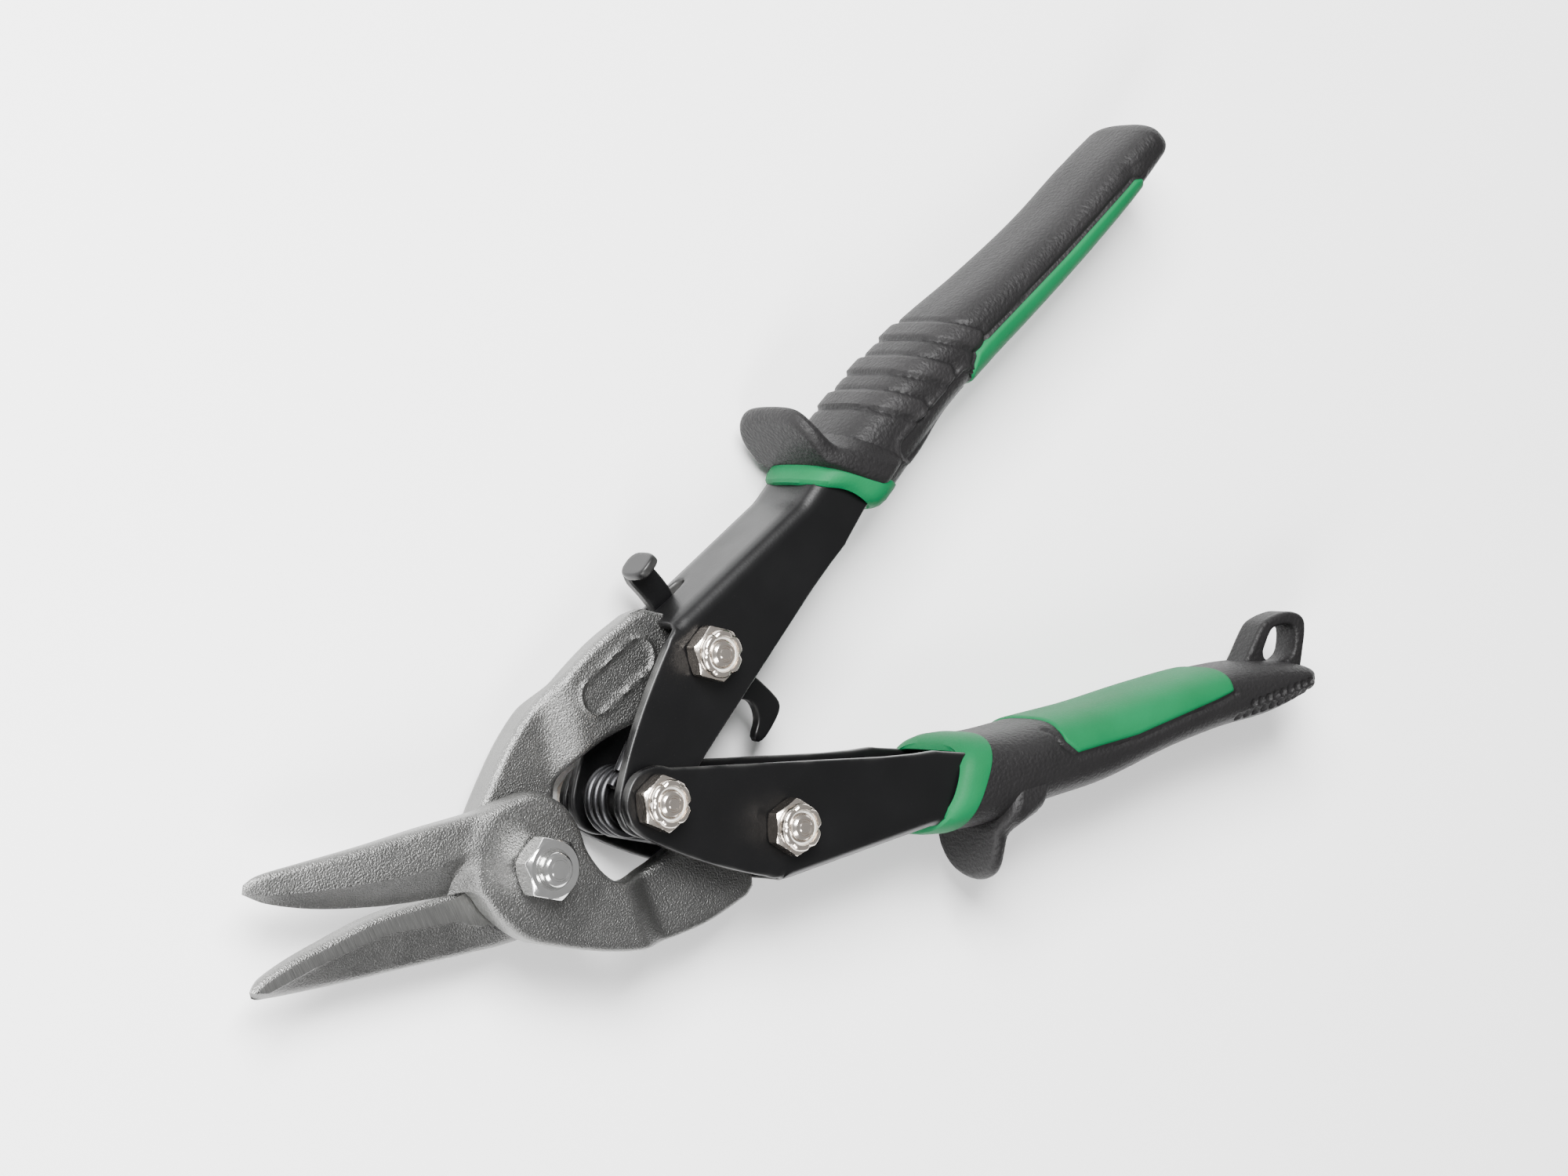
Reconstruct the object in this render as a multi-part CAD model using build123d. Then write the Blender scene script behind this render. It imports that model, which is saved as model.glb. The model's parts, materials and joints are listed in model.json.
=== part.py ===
"""Compound-action aviation snips, lying flat with the handles sprung open.

Origin: centre of the handle pivot bolt's head, on the bench.  +X runs along the linkage axis towards
the grips, +Y towards the handle that carries the latch, and +Z towards the nuts.  Millimetres, degrees.
"""
from build123d import *
import math
import os

os.makedirs("parts", exist_ok=True)

# ---------------------------------------------------------------- linkage, handles open
link_radius = 28.4          # handle pivot to each link bolt
pivot_gap = 23.6            # handle pivot to blade pivot
open_half = 36.9            # link bolts' bearing from the axis, each side
upper_lean = 24.4           # latch handle's direction above the axis
lower_lean = 26.4           # loop handle's direction below the axis
close_half = 20.05          # the same bearing as open_half with the handles closed

# ---------------------------------------------------------------- thicknesses through the stack
hub_thick = 5.8             # one blade at its pivot
shear_gap = 0.1             # between the two blades' ground faces
arm_thick = 4.4             # a blade's arm, centred between the walls of its handle
wall = 2.0                  # pressed steel of the handle channels
upper_inside = 12.0         # between the walls of the inner channel
nest_gap = 0.4              # outer channel's wall to the inner channel's wall
head_height = 3.1           # bolt heads of the handle bolts
running = 0.05              # radial clearance of a pin that turns in its hole
open_clear = 0.35           # radial clearance at the one pivot where the linkage loop is open
seat = 0.03                 # gap of pieces that are clamped or moulded together
side_gap = 0.3              # between faces that slide past each other

# ---------------------------------------------------------------- fasteners
bolt_r = 2.4
link_nut_flats = 8.9
link_nut_hex = 3.3          # height of the hexagon of a lock nut
link_nut_height = 4.9       # with its crimped collar
collar_r = 4.3              # crimped collar of a lock nut
insert_r = 3.5              # nylon ring in the collar
pivot_r = 3.0
pivot_nut_flats = 10.2
pivot_nut_height = 4.6
pivot_head_height = 4.0
bolt_stand = 1.4            # bolt end beyond its nut

# ---------------------------------------------------------------- channels
end_r = 6.4                 # rounded ends of the channels round the handle pivot
upper_inner_edge = 4.7      # open edge of each channel, inwards of the handle line
lower_inner_edge = 6.0
spine_front = 27.4          # where the folded spine begins
spine_rise = 8.7            # spine above the link bolt, at its front
neck_at = 61.0              # distance where the taper ends
neck_rise = 6.6
bend_r = 2.2

# ---------------------------------------------------------------- grips
upper_collar_at = 67.5       # middle of each collar on the handle line
lower_collar_at = 64.5
collar_long = 6.0
front_slant = 7.0           # how far the inner side of the collar lies behind its outer side
collar_margin = 0.3         # collar's half width less than its grip's
inlay_proud = 0.4
inlay_thick = 1.2
upper_guard_at = 70.6
lower_guard_at = 78.5
guard_thick = 4.0
upper_guard_half = 11.2
lower_guard_half = 8.6
upper_guard_rise = 18.4     # top of the guard over the handle line
lower_guard_rise = 17.4
upper_guard_corner = 5.4
lower_guard_corner = 7.6
grip_round = 5.2
loop_thick = 6.2            # hang loop, along Z
tang_cover = 4.0            # rubber over the steel tang

# grip outlines: distance from the handle pivot, inner edge, outer edge, half the width
upper_grip_rows = [(66, 8.6, 8.0, 10.4), (80, 8.8, 7.0, 10.8), (95, 9.2, 4.8, 10.8), (107, 11.0, 2.2, 10.6),
                   (121, 13.6, -2.0, 10.3), (138, 16.4, -6.3, 10.0), (154, 18.4, -9.0, 9.8),
                   (167, 18.8, -12.0, 9.6)]
lower_grip_rows = [(64, 9.0, 8.4, 12.2), (75, 9.7, 7.6, 12.7), (87, 11.4, 3.9, 12.5), (101, 13.5, 0.6, 12.0),
                   (118, 17.2, -5.2, 11.4), (130, 19.5, -8.4, 10.8), (142, 21.2, -10.8, 10.2),
                   (158.4, 21.2, -17.0, 8.8)]
upper_tang_end = 140.0
lower_tang_end = 106.0
upper_inlay = [(100.5, 60), (101.0, 8.6), (105.0, 5.4), (107.4, 5.6), (130.6, 10.4), (152.9, 14.4),
               (154.5, 16.6), (154.5, 60)]
lower_inlay = [(88.5, 60), (87.0, 9.6), (89.0, 7.0), (91.5, 5.4), (106.6, 8.1), (126.1, 14.6),
               (129.6, 17.0), (130.0, 60)]

# ---------------------------------------------------------------- torsion spring and latch
wire_r = 0.95
coil_r = 5.5
coil_turns = 3.5
coil_pitch = 2.1
lower_leg_z = 6.9           # lower leg's distance from the mid-plane at its end
leg_end = (31.0, 1.05)      # leg tip: distance along the handle, centre's gap below the spine
latch_thick = 2.0
latch_boss = 5.2
latch_open = 27.5           # bearing of the hook from -Y with the latch lifted clear

# ---------------------------------------------------------------- worked out from the sizes above
lower_inside = upper_inside + 2 * wall + 2 * nest_gap
upper_width = upper_inside + 2 * wall
lower_width = lower_inside + 2 * wall
mid_z = lower_width / 2 + head_height    # 13.5: also the loop grip's half width with its inlay
blade_pivot = Vector(-pivot_gap, 0)


def polar(radius, bearing):
    """Point at a radius and a bearing in degrees from +X."""
    return Vector(radius * math.cos(math.radians(bearing)), radius * math.sin(math.radians(bearing)))


upper_link = polar(link_radius, open_half)
lower_link = polar(link_radius, -open_half)
latch_reach = 2 * link_radius * math.sin(math.radians(close_half))


def along_handle(link, lean):
    """A link bolt's place in its handle's own frame: along the handle, and outwards from it."""
    spread = math.radians(open_half - lean)
    return Vector(link_radius * math.cos(spread), link_radius * math.sin(spread))


upper_link_local = along_handle(upper_link, upper_lean)
lower_link_local = along_handle(lower_link, lower_lean)


def upper_place(shape):
    """From the handle's own frame (x along, y outwards, z across) to the latch handle."""
    return Location((0, 0, mid_z), (0, 0, upper_lean)) * shape


def lower_place(shape):
    """The same for the loop handle, which is the other hand."""
    return Location((0, 0, mid_z), (0, 0, -lower_lean)) * mirror(shape, Plane.XZ)


def plate(points, z_low, z_high):
    """Flat plate with the outline through the points."""
    outline = make_face(Polyline(*points, close=True))
    return Pos(0, 0, z_low) * extrude(outline, z_high - z_low)


def drum(radius, z_low, z_high, at=(0, 0)):
    return Pos(at[0], at[1], z_low) * Cylinder(radius, z_high - z_low,
                                               align=(Align.CENTER, Align.CENTER, Align.MIN))


def write(shape, node):
    shape.label = node
    export_step(shape, "parts/" + node + ".step")


# ================================================================ handle channels
def spine_rise_at(x, link_local, drop):
    """Height of the spine over the handle line at a distance x, less a drop."""
    front = link_local.Y + spine_rise
    share = (x - spine_front) / (neck_at - spine_front)
    return front + (neck_rise - front) * share - drop


def tang_rows(rows, tang_end):
    """Rows of the grip that the tang follows, with the steel tang's inner and outer edges."""
    kept = [(s, -inner + tang_cover, outer - tang_cover) for s, inner, outer, half in rows if s > neck_at + 25]
    inside = [row for row in kept if row[0] < tang_end]
    last_in, last_out = row_at(rows, tang_end)
    return inside + [(tang_end, -last_in + tang_cover, last_out - tang_cover)]


def row_at(rows, s):
    """Inner and outer edge of a grip at a distance, between its rows."""
    for (s0, in0, out0, half0), (s1, in1, out1, half1) in zip(rows, rows[1:]):
        if s0 <= s <= s1:
            share = (s - s0) / (s1 - s0)
            return in0 + (in1 - in0) * share, out0 + (out1 - out0) * share
    raise ValueError("no grip at %s" % s)


def channel_outline(rows, tang_end, link_local, inner_edge, grow=0.0):
    """Side view of a channel and its tang, as two lists: outer edge, inner edge."""
    front_high = spine_rise_at(spine_front, link_local, -grow)
    tang = tang_rows(rows, tang_end)
    outer = [(spine_front, front_high), (neck_at, neck_rise + grow), (neck_at + 14, neck_rise - 0.6 + grow)]
    outer += [(s, high + grow) for s, low, high in tang]
    inner = [(s, low - grow) for s, low, high in tang]
    inner = [(neck_at + 14, -inner_edge - grow)] + inner
    outer[-1] = (outer[-1][0] + grow, outer[-1][1])
    inner[-1] = (inner[-1][0] + grow, inner[-1][1])
    return outer, inner


def channel(width, rows, tang_end, link_local, inner_edge, slot=None):
    """U-shaped pressed channel: two walls joined by a spine on the outer side, open inwards."""
    outer, inner = channel_outline(rows, tang_end, link_local, inner_edge)
    front_high = outer[0][1]
    tangent = math.degrees(math.atan2(front_high, spine_front))
    reach = math.hypot(front_high, spine_front)
    swing = math.degrees(math.acos(end_r / reach))
    touch = polar(end_r, tangent + swing)
    around = ThreePointArc(touch, (-end_r, 0), (0, -end_r))
    edge = [(0, -end_r), (end_r, -inner_edge)] + inner + outer[::-1] + [touch]
    side = make_face(around + Polyline(*edge))
    body = Pos(0, 0, -width / 2) * extrude(side, width)
    folds = [e for e in body.edges() if abs(abs(e.center().Z) - width / 2) < 0.01
             and e.center().Y > 0.5 * neck_rise and spine_front < e.center().X < neck_at]
    body = fillet(folds, bend_r)
    hollow_top = [(x, y - wall) for x, y in outer]
    hollow = [(-60, -60), (-60, 60), (spine_front - 0.01, 60)] + \
             [(spine_front - 0.01, hollow_top[0][1])] + hollow_top[1:] + [(tang_end + 9, hollow_top[-1][1]),
                                                                      (tang_end + 9, -60)]
    body -= plate(hollow, -(width / 2 - wall), width / 2 - wall)
    if slot:
        body -= slot
    return body


neck_low = (3.7, 9.3)       # latch neck where it leaves the spine, from the link bolt
neck_wide = 5.2
neck_slack = 1.9            # slot beyond the neck, for its swing
latch_z = -arm_thick / 2 - 0.5 - latch_thick / 2
latch_slot = Pos(upper_link_local.X + neck_low[0] + neck_wide / 2, upper_link_local.Y + spine_rise - 2, latch_z) \
    * Box(neck_wide + 2 * neck_slack, 12, latch_thick + 0.5)

upper_shell = channel(upper_width, upper_grip_rows, upper_tang_end, upper_link_local, upper_inner_edge,
                      latch_slot)
lower_shell = channel(lower_width, lower_grip_rows, lower_tang_end, lower_link_local, lower_inner_edge)

upper_holes = drum(bolt_r + running, -20, 20) + drum(bolt_r + seat, -20, 20, tuple(upper_link_local)[:2])
lower_holes = drum(bolt_r + seat, -20, 20) + drum(bolt_r + seat, -20, 20, tuple(lower_link_local)[:2])
upper_channel = upper_shell - upper_holes
lower_channel = lower_shell - lower_holes
write(upper_place(upper_channel), "upper_channel")
write(lower_place(lower_channel), "lower_channel")


# ================================================================ grips, collars, inlays
def grip_solid(rows, grow=0.0):
    """Rounded bar lofted through the rows; grow moves its surface out."""
    sections = []
    for s, inner, outer, half in rows:
        high = outer + grow
        low = -inner - grow
        place = Plane(origin=(s, (high + low) / 2, 0), x_dir=(0, 0, 1), z_dir=(1, 0, 0))
        corner = min(grip_round + grow, 0.42 * (high - low))
        sections.append(place * RectangleRounded(2 * (half + grow), high - low, corner))
    return loft(sections)


def slanted_cut(outer_s, inner_s, forward):
    """Everything in front of (or behind) a slanted plane across the handle."""
    far = -200 if forward else 400
    return plate([(outer_s, 30), (inner_s, -30), (far, -30), (far, 30)], -40, 40)


def slant(s):
    """Outer and inner end of a slanted front plane that crosses the handle line at s."""
    return s - front_slant * 30 / 17.5, s + front_slant * 30 / 17.5


def guard(at, half, rise, corner):
    """Thumb guard: a tongue with rounded corners that stands out of the grip's outer side."""
    foot = 2.0
    tongue = Pos((rise + foot) / 2, 0) * RectangleRounded(rise - foot, 2 * half, corner)
    upright = Plane(origin=(at - guard_thick / 2, 0, 0), x_dir=(0, 1, 0), z_dir=(1, 0, 0))
    return extrude(upright * tongue, guard_thick)


def grip_set(rows, tang_end, link_local, inner_edge, width, inlay_outline, middle_s, thumb_guard, extras,
             relief):
    """Grip, collar and inlay round one channel's tang."""
    outer, inner = channel_outline(rows, tang_end, link_local, inner_edge, seat)
    start = neck_at - 12
    edge = [(start, spine_rise_at(start, link_local, -seat))] + outer[1:] + inner[::-1] + \
           [(start, -inner_edge - seat)]
    tang_room = plate(edge, -width / 2 - seat, width / 2 + seat)
    split_s = middle_s + collar_long / 2
    front, second = rows[0], rows[1]
    bar = grip_solid(rows)
    long_bar = grip_solid([(front[0] - 20, front[1], front[2], front[3]), front, second], -collar_margin)
    collar = long_bar - slanted_cut(*slant(middle_s - collar_long / 2), True)
    collar -= slanted_cut(*slant(split_s - seat), False)
    skin_cut = plate([(x, -y) for x, y in inlay_outline], -30, 30)
    inlay = (grip_solid(rows, inlay_proud) - grip_solid(rows, -inlay_thick)) & skin_cut
    pocket = (grip_solid(rows, 3.0) - grip_solid(rows, -inlay_thick - seat)) & skin_cut
    lead = grip_solid([(front[0] - 8, front[1], front[2], front[3]), front])
    grip = bar + lead + thumb_guard - slanted_cut(*slant(split_s), True)
    for extra in extras:
        grip += extra
    grip -= pocket
    for cut in relief:
        grip -= cut
    return grip - tang_room, collar - tang_room, inlay


# hang loop on the loop handle's end, as (along, inwards) in the handle's own frame
loop_outline = [(138.5, 19.0), (142.9, 26.2), (144.6, 28.2), (149.8, 29.9), (153.6, 29.3), (155.2, 27.4),
                (153.4, 20.0)]
loop_window = [(143.6, 21.2), (145.9, 26.0), (147.2, 27.0), (150.6, 27.4), (152.6, 26.4), (151.4, 21.2)]
loop_bars = plate([(x, -y) for x, y in loop_outline], -loop_thick / 2, loop_thick / 2)
loop_hole = plate([(x, -y) for x, y in loop_window], -20, 20)

# recess in the latch handle that takes the loop when the handles close
recess = plate([(x + dx, -y) for x, dx, y in ((133.0, 0, 12.0), (133.0, 0, 60), (162.0, 0, 60), (162.0, 0, 12.0))],
               -loop_thick / 2 - 0.8, loop_thick / 2 + 0.8)
upper_end_cut = plate([(165.4, 0), (164.6, -11), (163.4, -30), (190, -30), (190, 0)], -30, 30)
lower_end_cut = plate([(147.0, 10), (151.6, -15.4), (153.6, -17.6), (153.6, -22), (190, -22), (190, 10)], -30, 30)
tail_step = plate([(151.5, -19.6), (190, -19.2), (190, -40), (153.6, -40)], -30, 30) - \
    plate([(140, 0), (140, -40), (156, -40), (156, 0)], -loop_thick / 2, loop_thick / 2)

upper_grip, upper_collar, upper_inlay_skin = grip_set(
    upper_grip_rows, upper_tang_end, upper_link_local, upper_inner_edge, upper_width, upper_inlay,
    upper_collar_at, guard(upper_guard_at, upper_guard_half, upper_guard_rise, upper_guard_corner), [],
    [upper_end_cut, recess])
lower_grip, lower_collar, lower_inlay_skin = grip_set(
    lower_grip_rows, lower_tang_end, lower_link_local, lower_inner_edge, lower_width, lower_inlay,
    lower_collar_at, guard(lower_guard_at, lower_guard_half, lower_guard_rise, lower_guard_corner), [loop_bars],
    [loop_hole, lower_end_cut, tail_step])
upper_inlay_skin -= recess
write(upper_place(upper_grip), "upper_grip")
write(upper_place(upper_collar), "upper_collar")
write(upper_place(upper_inlay_skin), "upper_inlay")
write(lower_place(lower_grip), "lower_grip")
write(lower_place(lower_collar), "lower_collar")
write(lower_place(lower_inlay_skin), "lower_inlay")


# ================================================================ blades
def to_blade(point, lean):
    """A point of a handle's own frame, seen from the blade pivot with the arm below the axis."""
    turned = Vector(point[0], point[1]).rotate(Axis.Z, lean)
    return (turned.X + pivot_gap, -turned.Y)


near_outer = [(-12.6, 3.4), (-11.2, -3.4), (-7.8, -9.6), (-2.4, -14.2), (7.2, -20.6), (15.9, -24.6), (28.0, -27.2)]
far_outer = [(-10.6, 3.4), (-10.0, -3.4), (-6.4, -9.4), (-1.4, -13.4), (8.0, -19.8), (16.9, -23.6), (29.0, -27.3)]


def blade_plan(link_local, lean, outer_points, toe, crown):
    """Plan of hub and arm for the blade whose arm runs below the axis, from the blade pivot."""
    link = to_blade((link_local.X, link_local.Y), lean)
    stop_low = to_blade((spine_front - 0.8, link_local.Y + spine_rise + toe), lean)
    stop_high = to_blade((spine_front - 0.8, link_local.Y + 6.4), lean)
    outer = Spline(*outer_points, stop_low)
    arm_end = Polyline(stop_low, stop_high, (link[0] + 4.2, link[1] - 4.9), (link[0] + 6.3, link[1]),
                       (link[0] + 4.6, link[1] + 4.6), (link[0], link[1] + 6.4), (34.0, -11.0))
    inner = Spline((34.0, -11.0), (23.2, -12.3), (15.2, -11.2), (12.0, -8.0), (10.4, -2.6), (10.6, 2.2),
                   (9.4, 7.4), (5.6, 11.6), (0.6, 13.0))
    top = Polyline((0.6, 13.0), (-8.4, crown), outer_points[0])
    return make_face(outer + arm_end + inner + top), link


def blade_side(z_face, z_back, sign):
    """Side view of hub and arm: the arm steps back to the middle of the tool."""
    half = arm_thick / 2
    hub = [(-14, z_face), (15.0, z_face), (22.0, -sign * half), (70, -sign * half), (70, sign * half),
           (21.0, sign * half), (13.5, z_back), (-14, z_back)]
    side = make_face(Plane.XZ * Polyline(*hub, close=True))
    return extrude(side, 45, both=True)


def jaw(stations):
    """Loft of straight-sided sections; each row holds the jaw's corners as (x, y, z)."""
    faces = []
    for corners in stations:
        faces.append(make_face(Polyline(*[Vector(*c) for c in corners], close=True)))
    return loft(faces, ruled=True)


def near_section(x, edge, ridge, top, z_ridge, z_top):
    """Upper jaw: hollow bevel from the cutting edge up to the ridge, then the outer face."""
    face = shear_gap / 2
    return [(x, edge, face), (x, ridge, z_ridge), (x, top - 0.6, z_top), (x, top, z_top * 0.55),
            (x, top - 0.4, face)]


def far_section(x, edge, land, bottom, z_back):
    """Lower jaw: flat ground land below the cutting edge, relieved face, straight back."""
    face = -shear_gap / 2
    return [(x, edge, face), (x, land, face), (x, bottom, -1.9), (x, bottom + 0.35 * z_back, -z_back),
            (x, edge - 0.7, -z_back)]


near_rows = [(-50.8, 21.9, 22.9, 24.0, 0.9, 1.3), (-47.4, 19.0, 20.8, 24.6, 1.9, 2.0),
             (-39.4, 13.6, 17.6, 22.6, 3.4, 2.9), (-28.2, 7.9, 13.6, 19.6, 4.6, 4.0),
             (-17.0, 3.4, 9.6, 16.9, 5.4, 5.3), (-6.0, 2.0, 8.0, 14.2, hub_thick, hub_thick - 0.1)]
far_rows = [(-56.4, 7.7, 6.9, 6.0, 1.9), (-54.0, 8.2, 5.6, 4.4, 3.0), (-40.5, 7.7, 4.6, -0.6, 4.4),
            (-29.0, 6.4, 3.0, -4.4, 5.2), (-16.3, 3.2, -1.8, -8.6, 5.8), (-6.0, 1.6, -9.6, -11.6, hub_thick)]

near_plan, near_link = blade_plan(lower_link_local, lower_lean, near_outer, 1.6, 15.0)
near_body = extrude(near_plan, 20, both=True) & blade_side(shear_gap / 2, hub_thick, 1)
near_body += jaw([near_section(*row) for row in near_rows])
near_body -= drum(pivot_r + seat, -20, 20)
near_body -= drum(bolt_r + running, -20, 20, near_link)

far_plan, far_link = blade_plan(upper_link_local, upper_lean, far_outer, 3.9, 11.0)
far_body = extrude(mirror(far_plan, Plane.XZ), 20, both=True)
far_body &= blade_side(-shear_gap / 2, -hub_thick, -1)
web = [(-9.0, 4.0), (-9.4, -4.0), (-5.0, -8.6), (0.0, -9.8), (6.0, -8.4), (9.6, -3.6), (10.0, 4.0), (0, 10)]
far_body += plate(web, -hub_thick, -shear_gap / 2)
far_body += jaw([far_section(*row) for row in far_rows])
far_body -= drum(pivot_r + running, -20, 20)
far_body -= drum(bolt_r + open_clear, -20, 20, (far_link[0], -far_link[1]))
blade_place = Pos(-pivot_gap, 0, mid_z)
write(blade_place * near_body, "near_blade")
write(blade_place * far_body, "far_blade")


# ================================================================ fasteners
def hex_bar(flats, z_low, z_high, chamfer_low, chamfer_high):
    """Hexagon with turned corners: its ends are cut back by cones."""
    bar = Pos(0, 0, z_low) * extrude(RegularPolygon(flats / 2, 6, major_radius=False), z_high - z_low)
    corner = flats / math.sqrt(3)
    drop = 0.55
    spin = [(0, z_low), (flats / 2 if chamfer_low else corner, z_low)]
    spin += [(corner, z_low + (drop if chamfer_low else 0.01)), (corner, z_high - (drop if chamfer_high else 0.01))]
    spin += [(flats / 2 if chamfer_high else corner, z_high), (0, z_high)]
    return bar & revolve(make_face(Plane.XZ * Polyline(*spin, close=True)), Axis.Z)


def bolt(radius, head_low, head_flats, height, tip):
    """Hex-head bolt along +Z: the head's flat end at head_low, its shank up to tip."""
    head = hex_bar(head_flats, head_low, head_low + height, True, False)
    return head + chamfer(drum(radius, head_low, tip).edges().sort_by(Axis.Z)[-1], 0.5)


def lock_nut(z_low):
    """Nut with a crimped collar that holds a nylon ring; returns the nut and the ring."""
    top = z_low + link_nut_height
    lip = 0.5
    nut = hex_bar(link_nut_flats, z_low, z_low + link_nut_hex, False, True)
    nut += chamfer(drum(collar_r, z_low, top).edges().sort_by(Axis.Z)[-1], 0.7)
    nut -= drum(bolt_r + seat, z_low - 1, top + 1)
    ring_low = z_low + link_nut_hex - 0.1
    nut -= drum(insert_r, ring_low, top - lip)
    nut -= drum(insert_r - 0.3, ring_low, top + 1)
    ring = drum(insert_r - seat, ring_low + seat, top - lip - seat) - drum(bolt_r + seat, z_low, top)
    return nut, ring


def link_set(at, half_width, name, turn):
    """Bolt, lock nut and nylon ring through one channel, at a point of the tool."""
    place = Location((at.X, at.Y, mid_z), (0, 0, turn))
    nut, ring = lock_nut(half_width)
    tip = half_width + link_nut_height + 0.3
    write(place * bolt(bolt_r, -half_width - head_height, link_nut_flats, head_height, tip), name + "_bolt")
    write(place * nut, name + "_nut")
    write(place * ring, name + "_nylon_insert")


def spacer(at, radius, z_low, z_high, bore):
    tube = drum(radius, z_low, z_high) - drum(bore, z_low - 1, z_high + 1)
    return Pos(at.X, at.Y, mid_z) * tube


link_set(Vector(0, 0), lower_width / 2, "handle_pivot", 12)
link_set(upper_link, upper_width / 2, "upper_link", 20)
link_set(lower_link, lower_width / 2, "lower_link", 4)

pivot_tip = hub_thick + pivot_nut_height + bolt_stand
pivot_screw = bolt(pivot_r, -hub_thick - pivot_head_height, pivot_nut_flats, pivot_head_height, pivot_tip)
pivot_nut = hex_bar(pivot_nut_flats, hub_thick, hub_thick + pivot_nut_height, False, True)
pivot_nut -= drum(pivot_r + seat, 0, 30)
pivot_place = Location((-pivot_gap, 0, mid_z), (0, 0, 22))
write(pivot_place * pivot_screw, "blade_pivot_bolt")
write(pivot_place * pivot_nut, "blade_pivot_nut")

# spacers keep the arms centred between the walls
sleeve_r = 3.7
spacer_r = 3.0
arm_face = arm_thick / 2 + side_gap / 2
write(spacer(Vector(0, 0), sleeve_r, -upper_inside / 2 + 0.1, upper_inside / 2 - 0.1, bolt_r + seat),
      "spring_sleeve")
write(spacer(upper_link, spacer_r, arm_face, upper_inside / 2 - seat, bolt_r + seat), "upper_link_spacer")
write(spacer(lower_link, spacer_r, arm_face, lower_inside / 2 - seat, bolt_r + seat), "lower_near_spacer")
hook_gap = latch_z - latch_thick / 2 - 0.3
write(spacer(lower_link, spacer_r, -lower_inside / 2 + seat, hook_gap, bolt_r + seat), "lower_far_spacer")


# ================================================================ torsion spring
def spring_leg(z, link_local, lean, sign):
    """Straight leg from the coil to its bearing point under the spine."""
    tip_y = spine_rise_at(leg_end[0], link_local, wall) - leg_end[1]
    slope = math.degrees(math.atan2(tip_y, leg_end[0]))
    swing = math.degrees(math.acos(coil_r / math.hypot(tip_y, leg_end[0])))
    start = polar(coil_r, sign * (lean + slope + swing))
    tip = Vector(leg_end[0], tip_y).rotate(Axis.Z, lean)
    return Vector(start.X, start.Y, z), Vector(tip.X, sign * tip.Y, z), slope + swing


top_z = coil_pitch * coil_turns / 2
upper_start, upper_tip, upper_swing = spring_leg(top_z, upper_link_local, upper_lean, 1)
lower_start, lower_tip, lower_swing = spring_leg(-top_z, lower_link_local, lower_lean, -1)
first = -(lower_lean + lower_swing)
turn_angle = upper_lean + upper_swing - first + 360 * int(coil_turns)
leg_r = wire_r - 0.05       # the legs are drawn a little thinner than the coil
leg_start = 0.3             # how far back inside the coil's end each leg begins


def half_spring(bearing, leg_points):
    """Wire from the middle of the coil, at a bearing, up to the coil's end and out along its leg."""
    path = Rot(0, 0, bearing) * Helix(2 * top_z / (turn_angle / 360), top_z, coil_r)
    wire = sweep(Plane(origin=path @ 0, z_dir=path % 0) * Circle(wire_r), path=path)
    run = (leg_points[1] - leg_points[0]).normalized()
    line = Polyline(leg_points[0] - run * leg_start, *leg_points[1:])
    return wire + sweep(Plane(origin=line @ 0, z_dir=line % 0) * Circle(leg_r), path=line,
                        transition=Transition.ROUND)


# the lower leg steps out of the hook's plane once it is clear of the upper channel
step_out = Vector(0, 0, top_z - lower_leg_z)
lower_run = lower_tip - lower_start
lower_points = [lower_start, lower_start + lower_run * 0.26, lower_start + lower_run * 0.44 + step_out,
                lower_tip + step_out]
# the lower half is an upper half turned over about the X axis
turned_over = [Vector(point.X, -point.Y, -point.Z) for point in lower_points]
middle = first + turn_angle / 2
spring = half_spring(middle, [upper_start, upper_tip]) + Rot(180, 0, 0) * half_spring(-middle, turned_over)
write(Pos(0, 0, mid_z) * spring, "torsion_spring")


# ================================================================ latch
def latch_plate():
    """Latch in its own frame: bolt hole at the origin, hook towards -Y, thumb pad beyond +Y."""
    reach = latch_reach
    notch_r = bolt_r + 0.35
    hook = [(-4.4, -2.6), (-3.4, -8.0), (-1.0, -(reach - notch_r - 1.6)), (notch_r * 0.6, -(reach - notch_r + 0.1)),
            (notch_r + 0.2, -reach), (notch_r * 0.4, -(reach + notch_r + 0.4)), (-1.9, -(reach + notch_r + 1.2)),
            (-2.3, -(reach + notch_r + 2.4)), (-0.8, -(reach + notch_r + 3.4)), (5.6, -(reach + notch_r + 2.8)),
            (6.6, -(reach + notch_r + 1.4)), (6.9, -(reach - 3)), (6.2, -(reach - 9)), (4.6, -3.0)]
    body = plate(hook, -latch_thick / 2, latch_thick / 2)
    body -= drum(notch_r, -9, 9, (0, -reach))
    body += drum(latch_boss, -latch_thick / 2, latch_thick / 2)
    return body


def latch_neck(turn):
    """Neck and thumb pad, given in the handle's frame and turned into the latch's own."""
    low_x, low_y = neck_low
    neck = plate([(-1.5, 2.0), (low_x + 0.6, 4.4), (low_x, low_y), (low_x + 0.6, low_y + 7.0),
                  (low_x + neck_wide + 0.4, low_y + 6.6), (low_x + neck_wide, low_y - 1.4), (5.0, 0.0)],
                 -latch_thick / 2, latch_thick / 2)
    pad = Pos(low_x + 0.5 + neck_wide / 2, low_y + 6.6, 3.7 - latch_thick / 2) * Box(neck_wide, 1.8, 7.4)
    return Rot(0, 0, turn) * (neck + pad)


body = Rot(0, 0, latch_open) * latch_plate() + latch_neck(upper_lean)
body -= drum(bolt_r + running, -9, 9)
latch = Pos(upper_link.X, upper_link.Y, mid_z + latch_z) * body
write(latch, "latch")

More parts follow.
